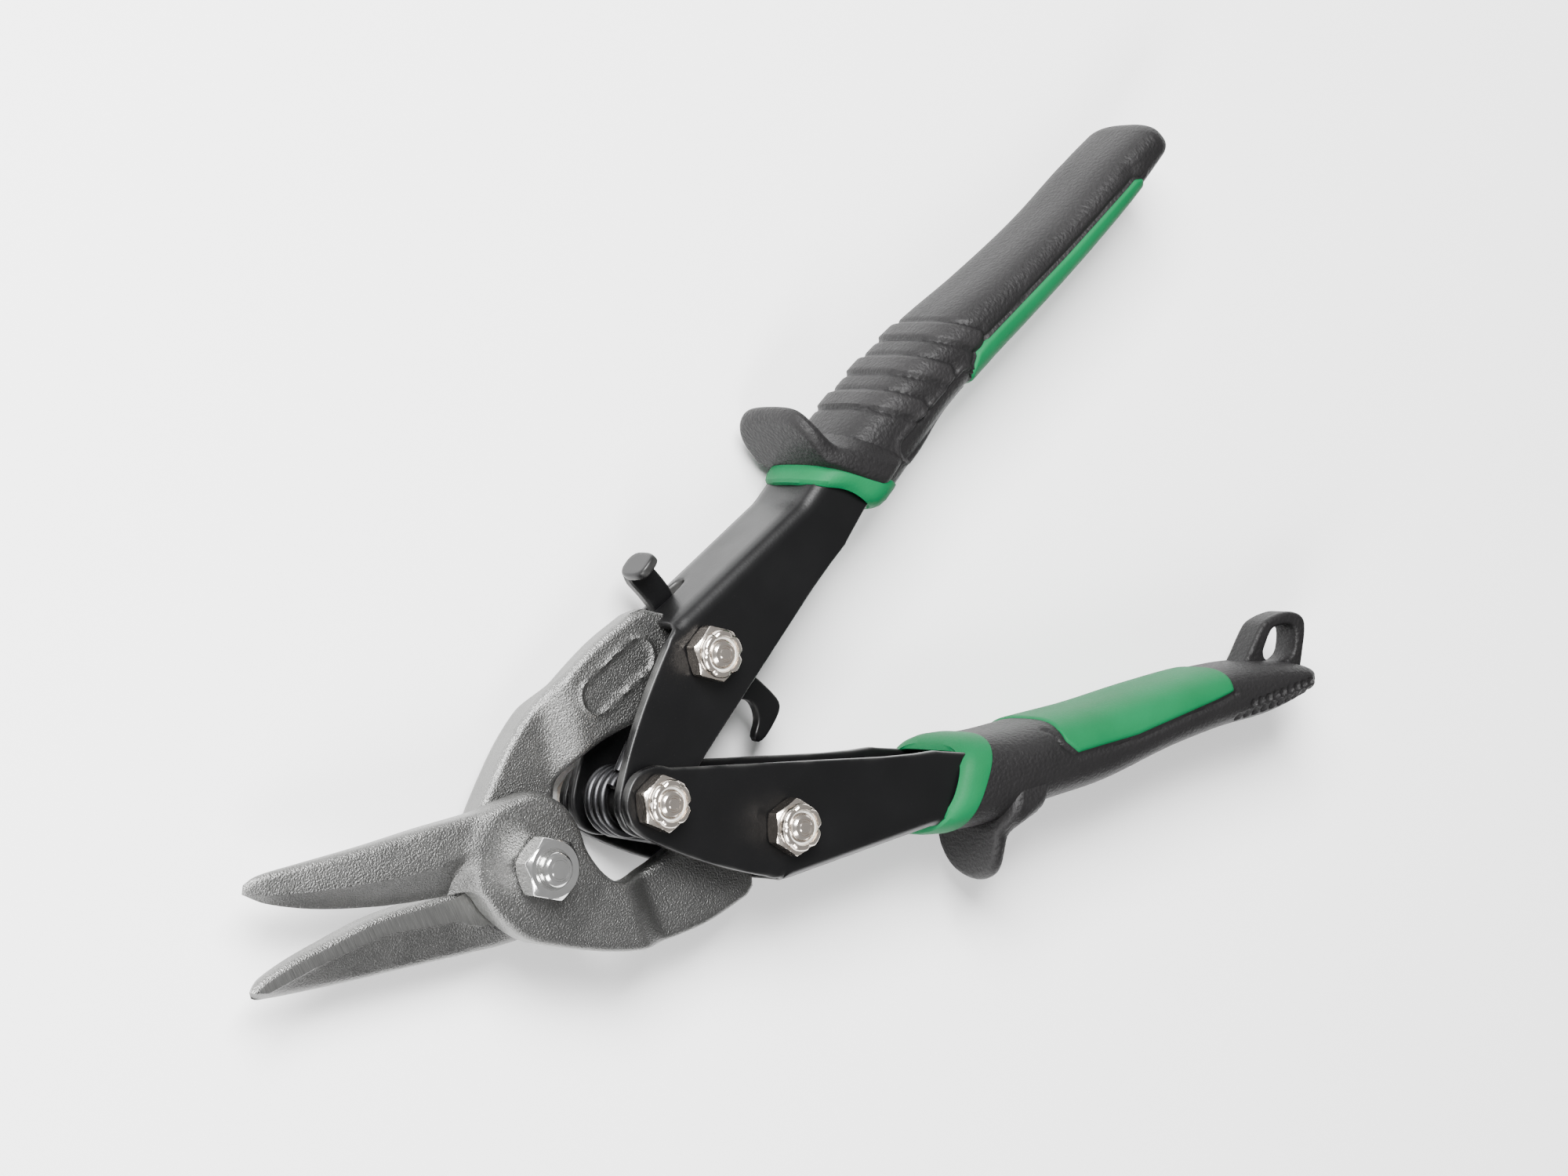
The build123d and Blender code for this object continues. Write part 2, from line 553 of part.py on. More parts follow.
print("mid plane", round(mid_z, 3), "links", upper_link, lower_link, "reach", round(latch_reach, 2))
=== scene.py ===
# %% [markdown]
# # Aviation snips, open on the bench
#
# Two forged blades turn on a plated bolt.  Each blade ends in an arm that is bolted between the walls of
# a pressed steel handle, and the handles turn on a bolt of their own: a compound linkage.  We build every
# visible piece again as a surface worked out with numpy, in millimetres, and place it where the packed
# model's joints say.  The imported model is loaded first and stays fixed.

# %% Loading the frame
import bpy
import json
import math
import numpy as np
from mathutils import Matrix
from mathutils.geometry import delaunay_2d_cdt

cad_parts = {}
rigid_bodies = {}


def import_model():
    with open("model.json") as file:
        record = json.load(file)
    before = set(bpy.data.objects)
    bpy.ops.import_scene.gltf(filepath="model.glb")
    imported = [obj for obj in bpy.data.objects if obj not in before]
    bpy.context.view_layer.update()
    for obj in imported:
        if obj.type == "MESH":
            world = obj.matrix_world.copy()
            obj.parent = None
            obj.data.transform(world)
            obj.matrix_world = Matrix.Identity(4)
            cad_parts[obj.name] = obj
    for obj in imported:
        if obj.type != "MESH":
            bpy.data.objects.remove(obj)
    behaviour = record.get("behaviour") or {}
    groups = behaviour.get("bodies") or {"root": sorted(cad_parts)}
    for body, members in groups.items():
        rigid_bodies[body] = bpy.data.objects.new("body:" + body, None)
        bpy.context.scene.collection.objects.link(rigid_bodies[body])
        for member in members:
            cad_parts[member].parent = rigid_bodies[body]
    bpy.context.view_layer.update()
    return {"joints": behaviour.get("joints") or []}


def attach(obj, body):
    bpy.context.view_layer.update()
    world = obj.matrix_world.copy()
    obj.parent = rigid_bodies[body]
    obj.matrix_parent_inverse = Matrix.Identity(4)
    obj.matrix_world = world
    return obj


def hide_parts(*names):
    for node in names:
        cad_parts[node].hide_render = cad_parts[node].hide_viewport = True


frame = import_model()
pivot = {j["name"]: np.array(j["pos_m"]) * 1000 for j in frame["joints"]}
P0, P1 = pivot["blade_pivot"], pivot["handle_pivot"]
P2, P3 = pivot["latch_pivot"], pivot["lower_link_pivot"]

# %% [markdown]
# ## Two helpers: a mesh from points, and which way is out
#
# A surface needs its faces to run anticlockwise seen from outside.  Instead of thinking about it for each
# piece, we add up the signed volume of the cones from the origin to every face: it comes out positive
# when the faces point outwards, and if it doesn't, every face is turned over at once.

# %% Adding a piece
def signed_volume(points, faces):
    """Sum over fan triangles of a . (b x c) / 6."""
    total = 0.0
    for size in {len(f) for f in faces}:
        table = np.array([f for f in faces if len(f) == size])
        a = points[table[:, 0]]
        for k in range(1, size - 1):
            b, c = points[table[:, k]], points[table[:, k + 1]]
            total += np.einsum("ij,ij->i", a, np.cross(b, c)).sum() / 6
    return total


def add_piece(name, points, faces, material, body, stands_for=(), edge=None, crease=40):
    """Makes an object from points in millimetres; edge is a number per point for the material to read."""
    points = np.asarray(points, float)
    if signed_volume(points - points.mean(0), faces) < 0:
        faces = [f[::-1] for f in faces]
    mesh = bpy.data.meshes.new(name)
    mesh.from_pydata((points / 1000).tolist(), [], faces)
    mesh.polygons.foreach_set("use_smooth", np.ones(len(mesh.polygons), bool))
    mesh.set_sharp_from_angle(angle=math.radians(crease))
    if edge is not None:
        mesh.attributes.new("edge", "FLOAT", "POINT").data.foreach_set("value", np.asarray(edge, np.float32))
    mesh.materials.append(material)
    piece = bpy.data.objects.new(name, mesh)
    bpy.context.scene.collection.objects.link(piece)
    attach(piece, body)
    if stands_for:
        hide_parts(*stands_for)
    print(name, len(points), "points", len(faces), "faces")
    return piece


# %% [markdown]
# ## The handles' own frames
#
# Each handle is easiest to draw lying straight: s runs along it from the handle pivot, t points away from
# the other handle and z across.  Two short functions turn those into the tool's frame; the loop handle is
# the mirror image of the latch handle.

# %% Handle frames
LEAN_UP, LEAN_DOWN = 24.4, 26.4


def to_upper(p):
    a = math.radians(LEAN_UP)
    s, t, z = p[..., 0], p[..., 1], p[..., 2]
    return np.stack([s * math.cos(a) - t * math.sin(a), s * math.sin(a) + t * math.cos(a), z + P1[2]], -1)


def to_lower(p):
    a = math.radians(LEAN_DOWN)
    s, t, z = p[..., 0], p[..., 1], p[..., 2]
    return np.stack([s * math.cos(a) - t * math.sin(a), -s * math.sin(a) - t * math.cos(a), z + P1[2]], -1)


def from_blade_pivot(p):
    return p + P0


LINK = np.array([28.4 * math.cos(math.radians(12.5)), 28.4 * math.sin(math.radians(12.5))])
print("link bolt in the upper frame", LINK.round(3), "placed", to_upper(np.array([*LINK, 0])).round(3))


# %% [markdown]
# ## Materials as arithmetic
#
# A node tree is easier to read as a formula.  Wire holds one output socket, and its operators add Math
# nodes; Recipe makes every other node from its type, its settings and its inputs.

# %% Wires and recipes
class Wire:
    def __init__(self, recipe, socket):
        self.recipe, self.socket = recipe, socket

    def math(self, operation, *values, clamp=False):
        return self.recipe.node("ShaderNodeMath", {"operation": operation, "use_clamp": clamp},
                                dict(enumerate(values)))

    def __add__(self, other): return self.math("ADD", self, other)
    def __radd__(self, other): return self.math("ADD", other, self)
    def __sub__(self, other): return self.math("SUBTRACT", self, other)
    def __rsub__(self, other): return self.math("SUBTRACT", other, self)
    def __mul__(self, other): return self.math("MULTIPLY", self, other)
    def __rmul__(self, other): return self.math("MULTIPLY", other, self)
    def __pow__(self, other): return self.math("POWER", self, other)
    def __gt__(self, other): return self.math("GREATER_THAN", self, other)

    def clip(self): return self.math("ADD", self, 0.0, clamp=True)


class Recipe:
    def __init__(self, name, base, **shader):
        self.material = bpy.data.materials.new(name)
        self.material.use_nodes = True
        self.tree = self.material.node_tree
        self.shader = self.tree.nodes["Principled BSDF"]
        self.set("Base Color", (*base, 1.0))
        for key, value in shader.items():
            self.set(key.replace("_", " ").title().replace("Ior", "IOR"), value)
        self.spot = Wire(self, self.tree.nodes.new("ShaderNodeTexCoord").outputs["Object"])

    def set(self, name, value):
        if isinstance(value, Wire):
            self.tree.links.new(value.socket, self.shader.inputs[name])
        else:
            self.shader.inputs[name].default_value = value

    def node(self, kind, settings=None, inputs=None, out=0):
        made = self.tree.nodes.new(kind)
        for key, value in (settings or {}).items():
            if key == "stops":
                for stop, (place, colour) in zip(made.color_ramp.elements, value):
                    stop.position, stop.color = place, colour
            else:
                setattr(made, key, value)
        for key, value in (inputs or {}).items():
            if isinstance(value, Wire):
                self.tree.links.new(value.socket, made.inputs[key])
            else:
                made.inputs[key].default_value = value
        return Wire(self, made.outputs[out])

    def noise(self, scale, detail=3.0, stretch=(1, 1, 1), turn=(0, 0, 0)):
        """Noise of about scale grains to the metre, read off the object's own coordinates."""
        at = self.node("ShaderNodeMapping", {}, {"Vector": self.spot, "Rotation": turn, "Scale": stretch})
        return self.node("ShaderNodeTexNoise", {}, {"Vector": at, "Scale": scale, "Detail": detail})

    def mix(self, share, first, second):
        return self.node("ShaderNodeMix", {"data_type": "RGBA"}, {0: share, 6: first, 7: second}, out=2)

    def edge(self):
        return self.node("ShaderNodeAttribute", {"attribute_name": "edge"}, {}, out=2)

    def bump(self, height, distance, strength=1.0, normal=None):
        inputs = {"Height": height, "Distance": distance, "Strength": strength}
        if normal is not None:
            inputs["Normal"] = normal
        return self.node("ShaderNodeBump", {}, inputs)


# %% [markdown]
# ## Forged and ground steel
#
# The blades are bead blasted: a fine, even grain that scatters the light.  Their edges are lighter, partly
# from handling wear and partly as a painted highlight along the rim.  The lower blade's land is ground flat after
# blasting, so it is smoother and carries fine slanted lines.  The land lies exactly in the shear plane, so its height
# gives the mask.

# %% Blade steel
def blade_steel(name, ground):
    steel = Recipe(name, (0.40, 0.40, 0.395), metallic=1.0, roughness=0.4)
    grain = steel.noise(3200, 2.0)
    cloud = steel.noise(160, 3.0)
    edge_amount = steel.edge()
    colour = steel.mix((cloud * 1.4 - 0.2).clip(), (0.11, 0.11, 0.108, 1), (0.165, 0.164, 0.16, 1))
    # Edges lightened towards bright metal: partly handling wear, partly a painted highlight along the rim.
    colour = steel.mix((edge_amount ** 3 * 0.35).clip(), colour, (0.34, 0.34, 0.33, 1))
    rough = 0.36 + 0.14 * grain - 0.04 * edge_amount
    height = grain
    if ground:
        up = steel.node("ShaderNodeSeparateXYZ", {}, {"Vector": steel.spot}, out=2)
        land = (up > P0[2] / 1000 - 0.00008) * (1 - (up > P0[2] / 1000 + 0.00004))
        along = steel.node("ShaderNodeSeparateXYZ", {}, {"Vector": steel.spot}, out=0)
        land = land * (1 - (along > (P0[0] - 9) / 1000))
        lines = steel.noise(900, 2.0, stretch=(6.0, 0.25, 1.0), turn=(0, 0, math.radians(24)))
        colour = steel.mix(land, colour, steel.mix(lines, (0.22, 0.22, 0.216, 1), (0.46, 0.46, 0.45, 1)))
        rough = rough * (1 - land) + land * (0.24 + 0.12 * lines)
        height = grain * (1 - land) + lines * land * 0.3
    steel.set("Base Color", colour)
    steel.set("Roughness", rough)
    steel.set("Normal", steel.bump(height, 0.00030, 0.7))
    return steel.material


NEAR_STEEL = blade_steel("bead blasted steel", False)
FAR_STEEL = blade_steel("bead blasted steel with a ground land", True)
print("blade finishes", NEAR_STEEL.name, FAR_STEEL.name)


# %% [markdown]
# ## Coated, plated and moulded finishes
#
# The pressed parts have a satin black coating, worn thin along the sheet's edges.  The nuts are nickel
# plated over rough metal.  The grips are moulded with a fine sand texture, and the green is smoother.

# %% The other finishes
def black_coat(name):
    coat = Recipe(name, (0.002, 0.002, 0.0022), roughness=0.4, specular_ior_level=0.3)
    grain, cloud, edge_amount = coat.noise(2600, 2.0), coat.noise(120, 3.0), coat.edge()
    rubbed = (edge_amount ** 4 * (cloud - 0.42) * 1.6).clip()
    coat.set("Base Color", coat.mix(rubbed, (0.0016, 0.0016, 0.0018, 1), (0.16, 0.16, 0.155, 1)))
    coat.set("Metallic", rubbed * 0.8)
    coat.set("Roughness", 0.30 + 0.16 * cloud)
    coat.set("Normal", coat.bump(grain, 0.00008, 0.22))
    return coat.material


def plated(name, colour, rough, depth):
    metal = Recipe(name, colour, metallic=1.0, roughness=rough)
    grain, cloud = metal.noise(1500, 3.0), metal.noise(420, 2.0)
    metal.set("Base Color", metal.mix(cloud, (*[c * 0.78 for c in colour], 1), (*colour, 1)))
    metal.set("Roughness", rough + 0.14 * grain)
    metal.set("Normal", metal.bump(grain + cloud, depth, 0.5))
    return metal.material


def moulded(name, low, high, rough, shine, grain_depth, grain_scale):
    rubber = Recipe(name, low, roughness=rough, specular_ior_level=shine)
    grain, cloud, edge_amount = rubber.noise(grain_scale, 3.0), rubber.noise(90, 3.0), rubber.edge()
    rubber.set("Base Color", rubber.mix((0.7 * cloud + 0.5 * edge_amount).clip(), (*low, 1), (*high, 1)))
    rubber.set("Roughness", rough - 0.06 + 0.14 * grain)
    rubber.set("Normal", rubber.bump(grain, grain_depth, 0.5))
    return rubber.material


BLACK_COAT = black_coat("satin black coating")
NICKEL = plated("nickel plate", (0.78, 0.71, 0.64), 0.11, 0.00006)
BRIGHT = plated("bright plate", (0.84, 0.84, 0.83), 0.07, 0.00004)
ZINC = plated("turned zinc", (0.20, 0.20, 0.20), 0.30, 0.00005)
WIRE = plated("oiled spring wire", (0.035, 0.035, 0.037), 0.28, 0.00004)
NYLON = moulded("nylon ring", (0.55, 0.55, 0.52), (0.72, 0.72, 0.69), 0.45, 0.3, 0.00004, 1500)
RUBBER = moulded("black grip rubber", (0.0042, 0.0040, 0.0042), (0.0115, 0.0108, 0.0112), 0.54, 0.22,
                 0.00045, 1500)
GREEN = moulded("green grip rubber", (0.0008, 0.074, 0.023), (0.0022, 0.128, 0.046), 0.58, 0.12, 0.00008,
                2400)
print("finishes", [m.name for m in (BLACK_COAT, NICKEL, BRIGHT, ZINC, WIRE, NYLON, RUBBER, GREEN)])

# %% [markdown]
# ## Flat work: a plate with rounded edges
#
# Blades, latch and pressed sheet are all cut to an outline and rounded along it.  The outline is filled
# with a net of triangles, and every point is lifted to the upper or lower face.  Near the outline the
# face falls away along a quarter circle, so light catches the edge as it does on the real part.

# %% Outlines
def through(*points, steps=10):
    """Open Catmull-Rom curve: between two points the tangents are half the chords of their neighbours."""
    p = np.array(points, float)
    p = np.vstack([2 * p[0] - p[1], p, 2 * p[-1] - p[-2]])
    u = np.linspace(0, 1, steps, endpoint=False)[:, None]
    runs = [0.5 * ((2 * b) + (c - a) * u + (2 * a - 5 * b + 4 * c - d) * u**2 + (3 * b - a - 3 * c + d) * u**3)
            for a, b, c, d in zip(p, p[1:], p[2:], p[3:])]
    return np.vstack(runs + [p[-2:-1]])


def soften(points, times=3):
    """Closed outline with every corner cut at a quarter of its sides, again and again."""
    p = np.array(points, float)
    for _ in range(times):
        q = np.roll(p, -1, 0)
        p = np.stack([0.75 * p + 0.25 * q, 0.25 * p + 0.75 * q], 1).reshape(-1, p.shape[1])
    return p


def respace(points, gap):
    """Closed outline walked again in equal steps of about gap."""
    p = np.vstack([points, points[:1]])
    run = np.concatenate([[0], np.cumsum(np.linalg.norm(np.diff(p, axis=0), axis=1))])
    at = np.linspace(0, run[-1], max(8, int(run[-1] / gap)), endpoint=False)
    return np.stack([np.interp(at, run, p[:, 0]), np.interp(at, run, p[:, 1])], -1)


def gap_to(points, line):
    """Distance from every point to the nearest segment of a closed outline."""
    a, b = line, np.roll(line, -1, 0)
    ab = b - a
    best = np.full(len(points), 1e9)
    for k in range(0, len(points), 2000):
        ap = points[k:k + 2000, None] - a
        share = np.clip((ap * ab).sum(-1) / np.maximum((ab * ab).sum(-1), 1e-12), 0, 1)
        best[k:k + 2000] = np.linalg.norm(ap - share[..., None] * ab, axis=-1).min(1)
    return best


def within(points, line):
    """True where a point is inside a closed outline: a ray to the right crosses it an odd number of times."""
    a, b = line, np.roll(line, -1, 0)
    x, y = points[:, :1], points[:, 1:]
    spans = (a[:, 1] > y) != (b[:, 1] > y)
    with np.errstate(divide="ignore", invalid="ignore"):
        cross = x < (b[:, 0] - a[:, 0]) * (y - a[:, 1]) / (b[:, 1] - a[:, 1]) + a[:, 0]
    return (spans & cross).sum(1) % 2 == 1


# %% Plates
def plate(outlines, top, bottom, round_by, cell, creases=()):
    """Points (x, y, height), faces and edge share of a plate; the first outline is the rim, others are holes."""
    outlines = [respace(o, min(cell, 0.8)) for o in outlines]
    rim = np.vstack(outlines)
    lows, highs = rim.min(0), rim.max(0)
    bands = []
    for line in outlines:
        ahead, behind = np.roll(line, -1, 0), np.roll(line, 1, 0)
        tangent = ahead - behind
        side = np.stack([-tangent[:, 1], tangent[:, 0]], -1) / np.linalg.norm(tangent, axis=1)[:, None]
        for share in (0.12, 0.36, 0.68, 1.0):
            for sign in (-1, 1):
                bands.append((line + sign * side * round_by * share, round_by * share * 0.93))
    xs = np.arange(lows[0], highs[0], cell)
    ys = np.arange(lows[1], highs[1], cell * 0.866)
    mesh_x, mesh_y = np.meshgrid(xs, ys)
    mesh_x[1::2] += cell / 2
    bands.append((np.stack([mesh_x.ravel(), mesh_y.ravel()], -1), round_by + cell * 0.3))
    for line in creases:
        bands.append((np.asarray(line, float), round_by * 0.2))

    def inside(p):
        ok = within(p, outlines[0])
        for hole in outlines[1:]:
            ok &= ~within(p, hole)
        return ok

    kept = []
    for p, least in bands:
        gap = np.min([gap_to(p, line) for line in outlines], axis=0)
        kept.append(p[(gap > least) & inside(p)])
    ties, start = [], 0
    for line in outlines:
        n = len(line)
        ties += [(start + k, start + (k + 1) % n) for k in range(n)]
        start += n
    flat = np.vstack([rim] + kept)
    net = delaunay_2d_cdt([tuple(p) for p in flat], ties, [], 0, 1e-5)
    xy = np.array([tuple(v) for v in net[0]])
    tris = np.array(net[2])
    tris = tris[inside(xy[tris].mean(1))]
    where = {}
    for k, sources in enumerate(net[3]):
        for source in sources:
            where[source] = k
    gap = np.min([gap_to(xy, line) for line in outlines], axis=0)
    high, low = top(xy[:, 0], xy[:, 1]), bottom(xy[:, 0], xy[:, 1])
    fall = np.minimum(round_by, 0.48 * np.maximum(high - low, 0))
    share = 1 - np.clip(gap / round_by, 0, 1)
    fall = fall * (1 - np.sqrt(1 - share**2))
    points = np.vstack([np.column_stack([xy, high - fall]), np.column_stack([xy, low + fall])])
    n = len(xy)
    faces = tris.tolist() + (tris[:, ::-1] + n).tolist()
    for a, b in ties:
        a, b = where[a], where[b]
        faces.append([a, a + n, b + n, b])
    return points, faces, np.tile(np.clip(1 - gap / (round_by * 1.6), 0, 1), 2)


def flat_at(height):
    return lambda x, y: np.full(len(x), float(height))


def ease(x):
    """Smooth step from 0 to 1: 3x^2 - 2x^3."""
    x = np.clip(x, 0, 1)
    return x * x * (3 - 2 * x)


trial = plate([soften([(0, 0), (9, 0), (9, 5), (0, 5)])], flat_at(1), flat_at(-1), 0.4, 1)
print("a test plate", [len(part) for part in trial])

# %% [markdown]
# ## The near blade
#
# A drop forging: a round hub, an arm that steps back to the middle of the tool, and a jaw whose bevel rises
# from the cutting edge to a ridge.  Heights are given along the jaw at a few stations and the hub swells
# out of it on a circle about the pivot.

# %% Near blade
ARM = 2.2
NEAR = np.array([(-51.4, 22.4, 23.4, 24.6, 0.7, 0.9), (-47.4, 19.0, 20.8, 24.6, 1.9, 2.0),
                 (-39.4, 13.6, 17.2, 22.6, 3.3, 2.8), (-28.2, 7.9, 13.0, 19.6, 4.4, 3.6),
                 (-17.0, 3.4, 9.4, 16.9, 5.0, 4.4), (-6.0, 2.0, 8.0, 14.2, 5.2, 4.8)])
near_rim = np.vstack([
    through((-51.3, 23.0), (-47.4, 19.0), (-39.4, 13.6), (-28.2, 7.9), (-17.0, 3.4), (-13.0, 2.4)),
    through((-12.2, 0.6), (-11.2, -3.4), (-7.8, -9.6), (-2.4, -14.2), (7.2, -20.6), (15.9, -24.6),
            (28.0, -27.2), (38.6, -27.3)),
    [(40.6, -26.3), (41.8, -23.1), (49.5, -22.5), (52.4, -17.5), (50.4, -12.6), (45.5, -10.9)],
    through((34.0, -11.0), (23.2, -12.3), (15.2, -11.2), (12.0, -8.0), (10.4, -2.6), (10.6, 2.2),
            (9.4, 7.4), (5.6, 11.6), (0.6, 13.0), (-6.0, 14.0), (-17.0, 16.9), (-28.2, 19.6), (-39.4, 22.6),
            (-47.4, 24.6), (-50.6, 24.4))])


def near_face(x, y):
    """Jaw: straight lines edge to ridge to back at each x.  Hub: 5.8.  Arm: 2.2 past the joggle."""
    edge, ridge, back, high, low = [np.interp(x, NEAR[:, 0], NEAR[:, k]) for k in range(1, 6)]
    bevel = 0.08 + (high - 0.08) * np.clip((y - edge) / (ridge - edge), 0, 1) ** 1.12
    outer = high + (low - high) * np.clip((y - ridge) / (back - ridge), 0, 1) ** 1.5
    jaw = np.where(y < ridge, bevel, outer)
    radius = np.hypot(x, y)
    hub = 5.8 - 0.25 * np.clip((radius - 6) / 8, 0, 1) ** 2
    belongs = np.maximum(ease((15.6 - radius) / 3.2), ease((-y - 0.5) / 4))
    body = np.where(x < 0, jaw + (hub - jaw) * belongs, hub)
    return body + (ARM - body) * ease((x - 13.4 - 0.06 * (y + 18)) / 7.0)


def near_back(x, y):
    return 0.05 + (-ARM - 0.05) * ease((x - 15.0) / 7.0)


ridge_line = np.column_stack([np.linspace(-50.8, -16.5, 60),
                              np.interp(np.linspace(-50.8, -16.5, 60), NEAR[:, 0], NEAR[:, 2])])
points, faces, edge = plate([near_rim], near_face, near_back, 1.25, 1.0, creases=[ridge_line])
add_piece("near_blade_forging", from_blade_pivot(points), faces, NEAR_STEEL, "near_blade",
          ("near_blade",), edge)

# %% [markdown]
# ## The far blade
#
# The same forging turned over.  Its jaw shows us the other side: a flat ground land beside the cutting
# edge, and below it a face relieved so the sheet curls clear.  The arm carries an empty oval recess with a
# raised border, pressed in when it was forged.

# %% Far blade
FAR = np.array([(-57.0, 7.6, 7.2, 6.4, 1.5), (-54.0, 8.2, 5.6, 4.4, 3.0), (-40.5, 7.7, 4.6, -0.6, 4.4),
                (-29.0, 6.4, 3.0, -4.4, 5.2), (-16.3, 3.2, -1.8, -8.6, 5.8), (-6.0, 1.6, -9.6, -11.6, 5.8)])
far_rim = np.vstack([
    through((-56.8, 7.4), (-54.0, 8.2), (-48.0, 8.3), (-40.5, 7.7), (-29.0, 6.4), (-16.3, 3.2), (-11.0, 2.4)),
    through((-9.4, 5.4), (-6.4, 9.6), (-1.4, 13.9), (8.0, 20.2), (16.9, 24.0), (29.0, 27.4), (38.4, 28.6)),
    [(41.6, 28.1), (44.2, 26.0), (49.8, 21.9), (52.2, 17.5), (50.4, 12.6), (45.5, 11.0)],
    through((34.0, 11.0), (23.2, 11.6), (15.2, 10.4), (12.0, 8.0), (10.4, 2.6), (10.6, -2.2), (9.4, -7.2),
            (5.6, -11.0), (0.6, -12.4), (-6.0, -11.8), (-16.3, -8.6), (-29.0, -4.4), (-40.5, -0.6),
            (-54.0, 4.4), (-56.6, 6.0))])


def oval(x, y, middle, along, half, wide):
    """Signed distance to a stadium: a segment of half length half - wide, grown by wide."""
    turn = math.radians(along)
    u = (x - middle[0]) * math.cos(turn) + (y - middle[1]) * math.sin(turn)
    v = -(x - middle[0]) * math.sin(turn) + (y - middle[1]) * math.cos(turn)
    return np.hypot(np.maximum(np.abs(u) - (half - wide), 0), v) - wide


def sunk_oval(gap, rise, depth):
    """A raised border where the distance is nought, and a sunk floor inside it."""
    return rise * np.exp(-(gap / 0.42) ** 2) - depth * ease((-gap - 0.35) / 0.5)


def far_face(x, y):
    edge, land, foot, back = [np.interp(x, FAR[:, 0], FAR[:, k]) for k in range(1, 5)]
    relief = np.clip((land - y) / np.maximum(land - foot, 0.1), 0, 1)
    jaw = -0.05 - 0.25 * (relief > 0) * ease(relief * 14) - 1.7 * relief ** 1.2
    face = np.where((x < -4) & (np.hypot(x, y) > 9), jaw, -0.05)
    face = face + (ARM - face) * ease((x - 12.5 + 0.25 * (14 - y)) / 8.0) * (y > 0)
    face = np.where((y <= 0) & (x > 12), ARM, face)
    return face + sunk_oval(oval(x, y, (31.1, 20.5), 9.8, 8.7, 3.3), 0.32, 0.12) * (x > 15)


def far_back(x, y):
    back = -np.interp(x, FAR[:, 0], FAR[:, 4])
    back = np.where(x < -6, back, -5.8)
    return back + (-ARM + 5.8) * ease((x - 13.4) / 7.2)


land_x = np.linspace(-56.4, -12.0, 90)
land_line = np.column_stack([land_x, np.interp(land_x, FAR[:, 0], FAR[:, 2])])
ring = np.linspace(0, 2 * math.pi, 110, endpoint=False)
rings = []
for reach in (-1.0, -0.5, 0.0, 0.5):
    u = 5.4 * np.sign(np.cos(ring)) * (np.abs(np.cos(ring)) > 0.25) + (3.3 + reach) * np.cos(ring)
    v = (3.3 + reach) * np.sin(ring)
    turn = math.radians(9.8)
    rings.append(np.column_stack([31.1 + u * math.cos(turn) - v * math.sin(turn),
                                  20.5 + u * math.sin(turn) + v * math.cos(turn)]))
points, faces, edge = plate([far_rim], far_face, far_back, 1.25, 0.9,
                            creases=[land_line, land_line - (0, 0.12), land_line - (0, 0.35)] + rings)
add_piece("far_blade_forging", from_blade_pivot(points), faces, FAR_STEEL, "far_blade",
          ("far_blade",), edge)


# %% [markdown]
# ## The pressed handles
#
# A handle's front is sheet steel, cut flat and folded into a channel.  We do the same: the blank is drawn
# in s and u, where u is measured across the sheet from the middle of the spine, and then every point is
# folded: flat spine, a quarter circle, then straight down the wall.

# %% Folding a blank
BEND = 1.2             # radius of the fold, at the middle of the sheet
SPINE_FRONT = 27.4     # where the folded spine begins


def spine_top(s):
    """Middle of the sheet on the spine: it falls along the taper and is level inside the grip."""
    return np.interp(s, [-10, SPINE_FRONT, 61, 80], [24.03, 14.85, 6.6, 6.0]) - 1.0


def fold(p, half):
    """(s, u, n) to (s, t, z): n is the distance from the middle of the sheet, outwards."""
    s, u, n = p[:, 0], p[:, 1], p[:, 2]
    flat = half - BEND
    top = spine_top(s)
    turn = np.clip((np.abs(u) - flat) / BEND, 0, math.pi / 2)
    down = np.maximum(np.abs(u) - flat - BEND * math.pi / 2, 0)
    t = top - BEND + (BEND + n) * np.cos(turn) - down
    z = np.minimum(np.abs(u), flat) + (BEND + n) * np.sin(turn)
    return np.column_stack([s, t, np.sign(u) * z])


def blank(half, inner):
    """Outline of the flat sheet: both walls with their round ends, joined behind the spine's front."""
    wall = np.vstack([[(82, -inner), (60, -inner - 0.25), (34, -inner - 0.1), (9, -inner + 0.1)],
                      through((3.4, -5.9), (0, -6.4), (-4.5, -4.5), (-6.4, 0), (-5.2, 3.8), steps=7),
                      [(-2.6, 6.0)], [(10, 10.8), (24.6, 14.1)]])
    s, t = wall[:, 0], wall[:, 1]
    across = (half - BEND) + BEND * math.pi / 2 + (spine_top(s) - BEND) - t
    near = np.column_stack([s, across])
    lip = [(SPINE_FRONT - 0.2, half - BEND + 0.9), (SPINE_FRONT + 0.1, half - BEND - 1.2)]
    near = np.vstack([near, lip])
    return np.vstack([near, near[::-1] * (1, -1)])


def channel(name, half, inner, place, body, node, holes=()):
    points, faces, edge = plate([soften(blank(half, inner), 2)] + [soften(h, 2) for h in holes],
                                flat_at(1.0), flat_at(-1.0), 0.55, 1.25)
    add_piece(name, place(fold(points, half)), faces, BLACK_COAT, body, (node,), edge, 50)


channel("lower_channel_pressing", 9.4, 6.0, to_lower, "lower_handle", "lower_channel")
channel("upper_channel_pressing", 7.0, 4.7, to_upper, "upper_handle", "upper_channel",
        [[(28.8, -5.3), (39.4, -5.3), (39.4, -2.1), (28.8, -2.1)]])


# %% [markdown]
# ## Turned parts and hexagons
#
# A nut is a turned part clipped by six flats.  At every angle the radius is the smaller of the turned
# profile and the flat's own distance, and the chamfer's bright arcs appear by themselves.

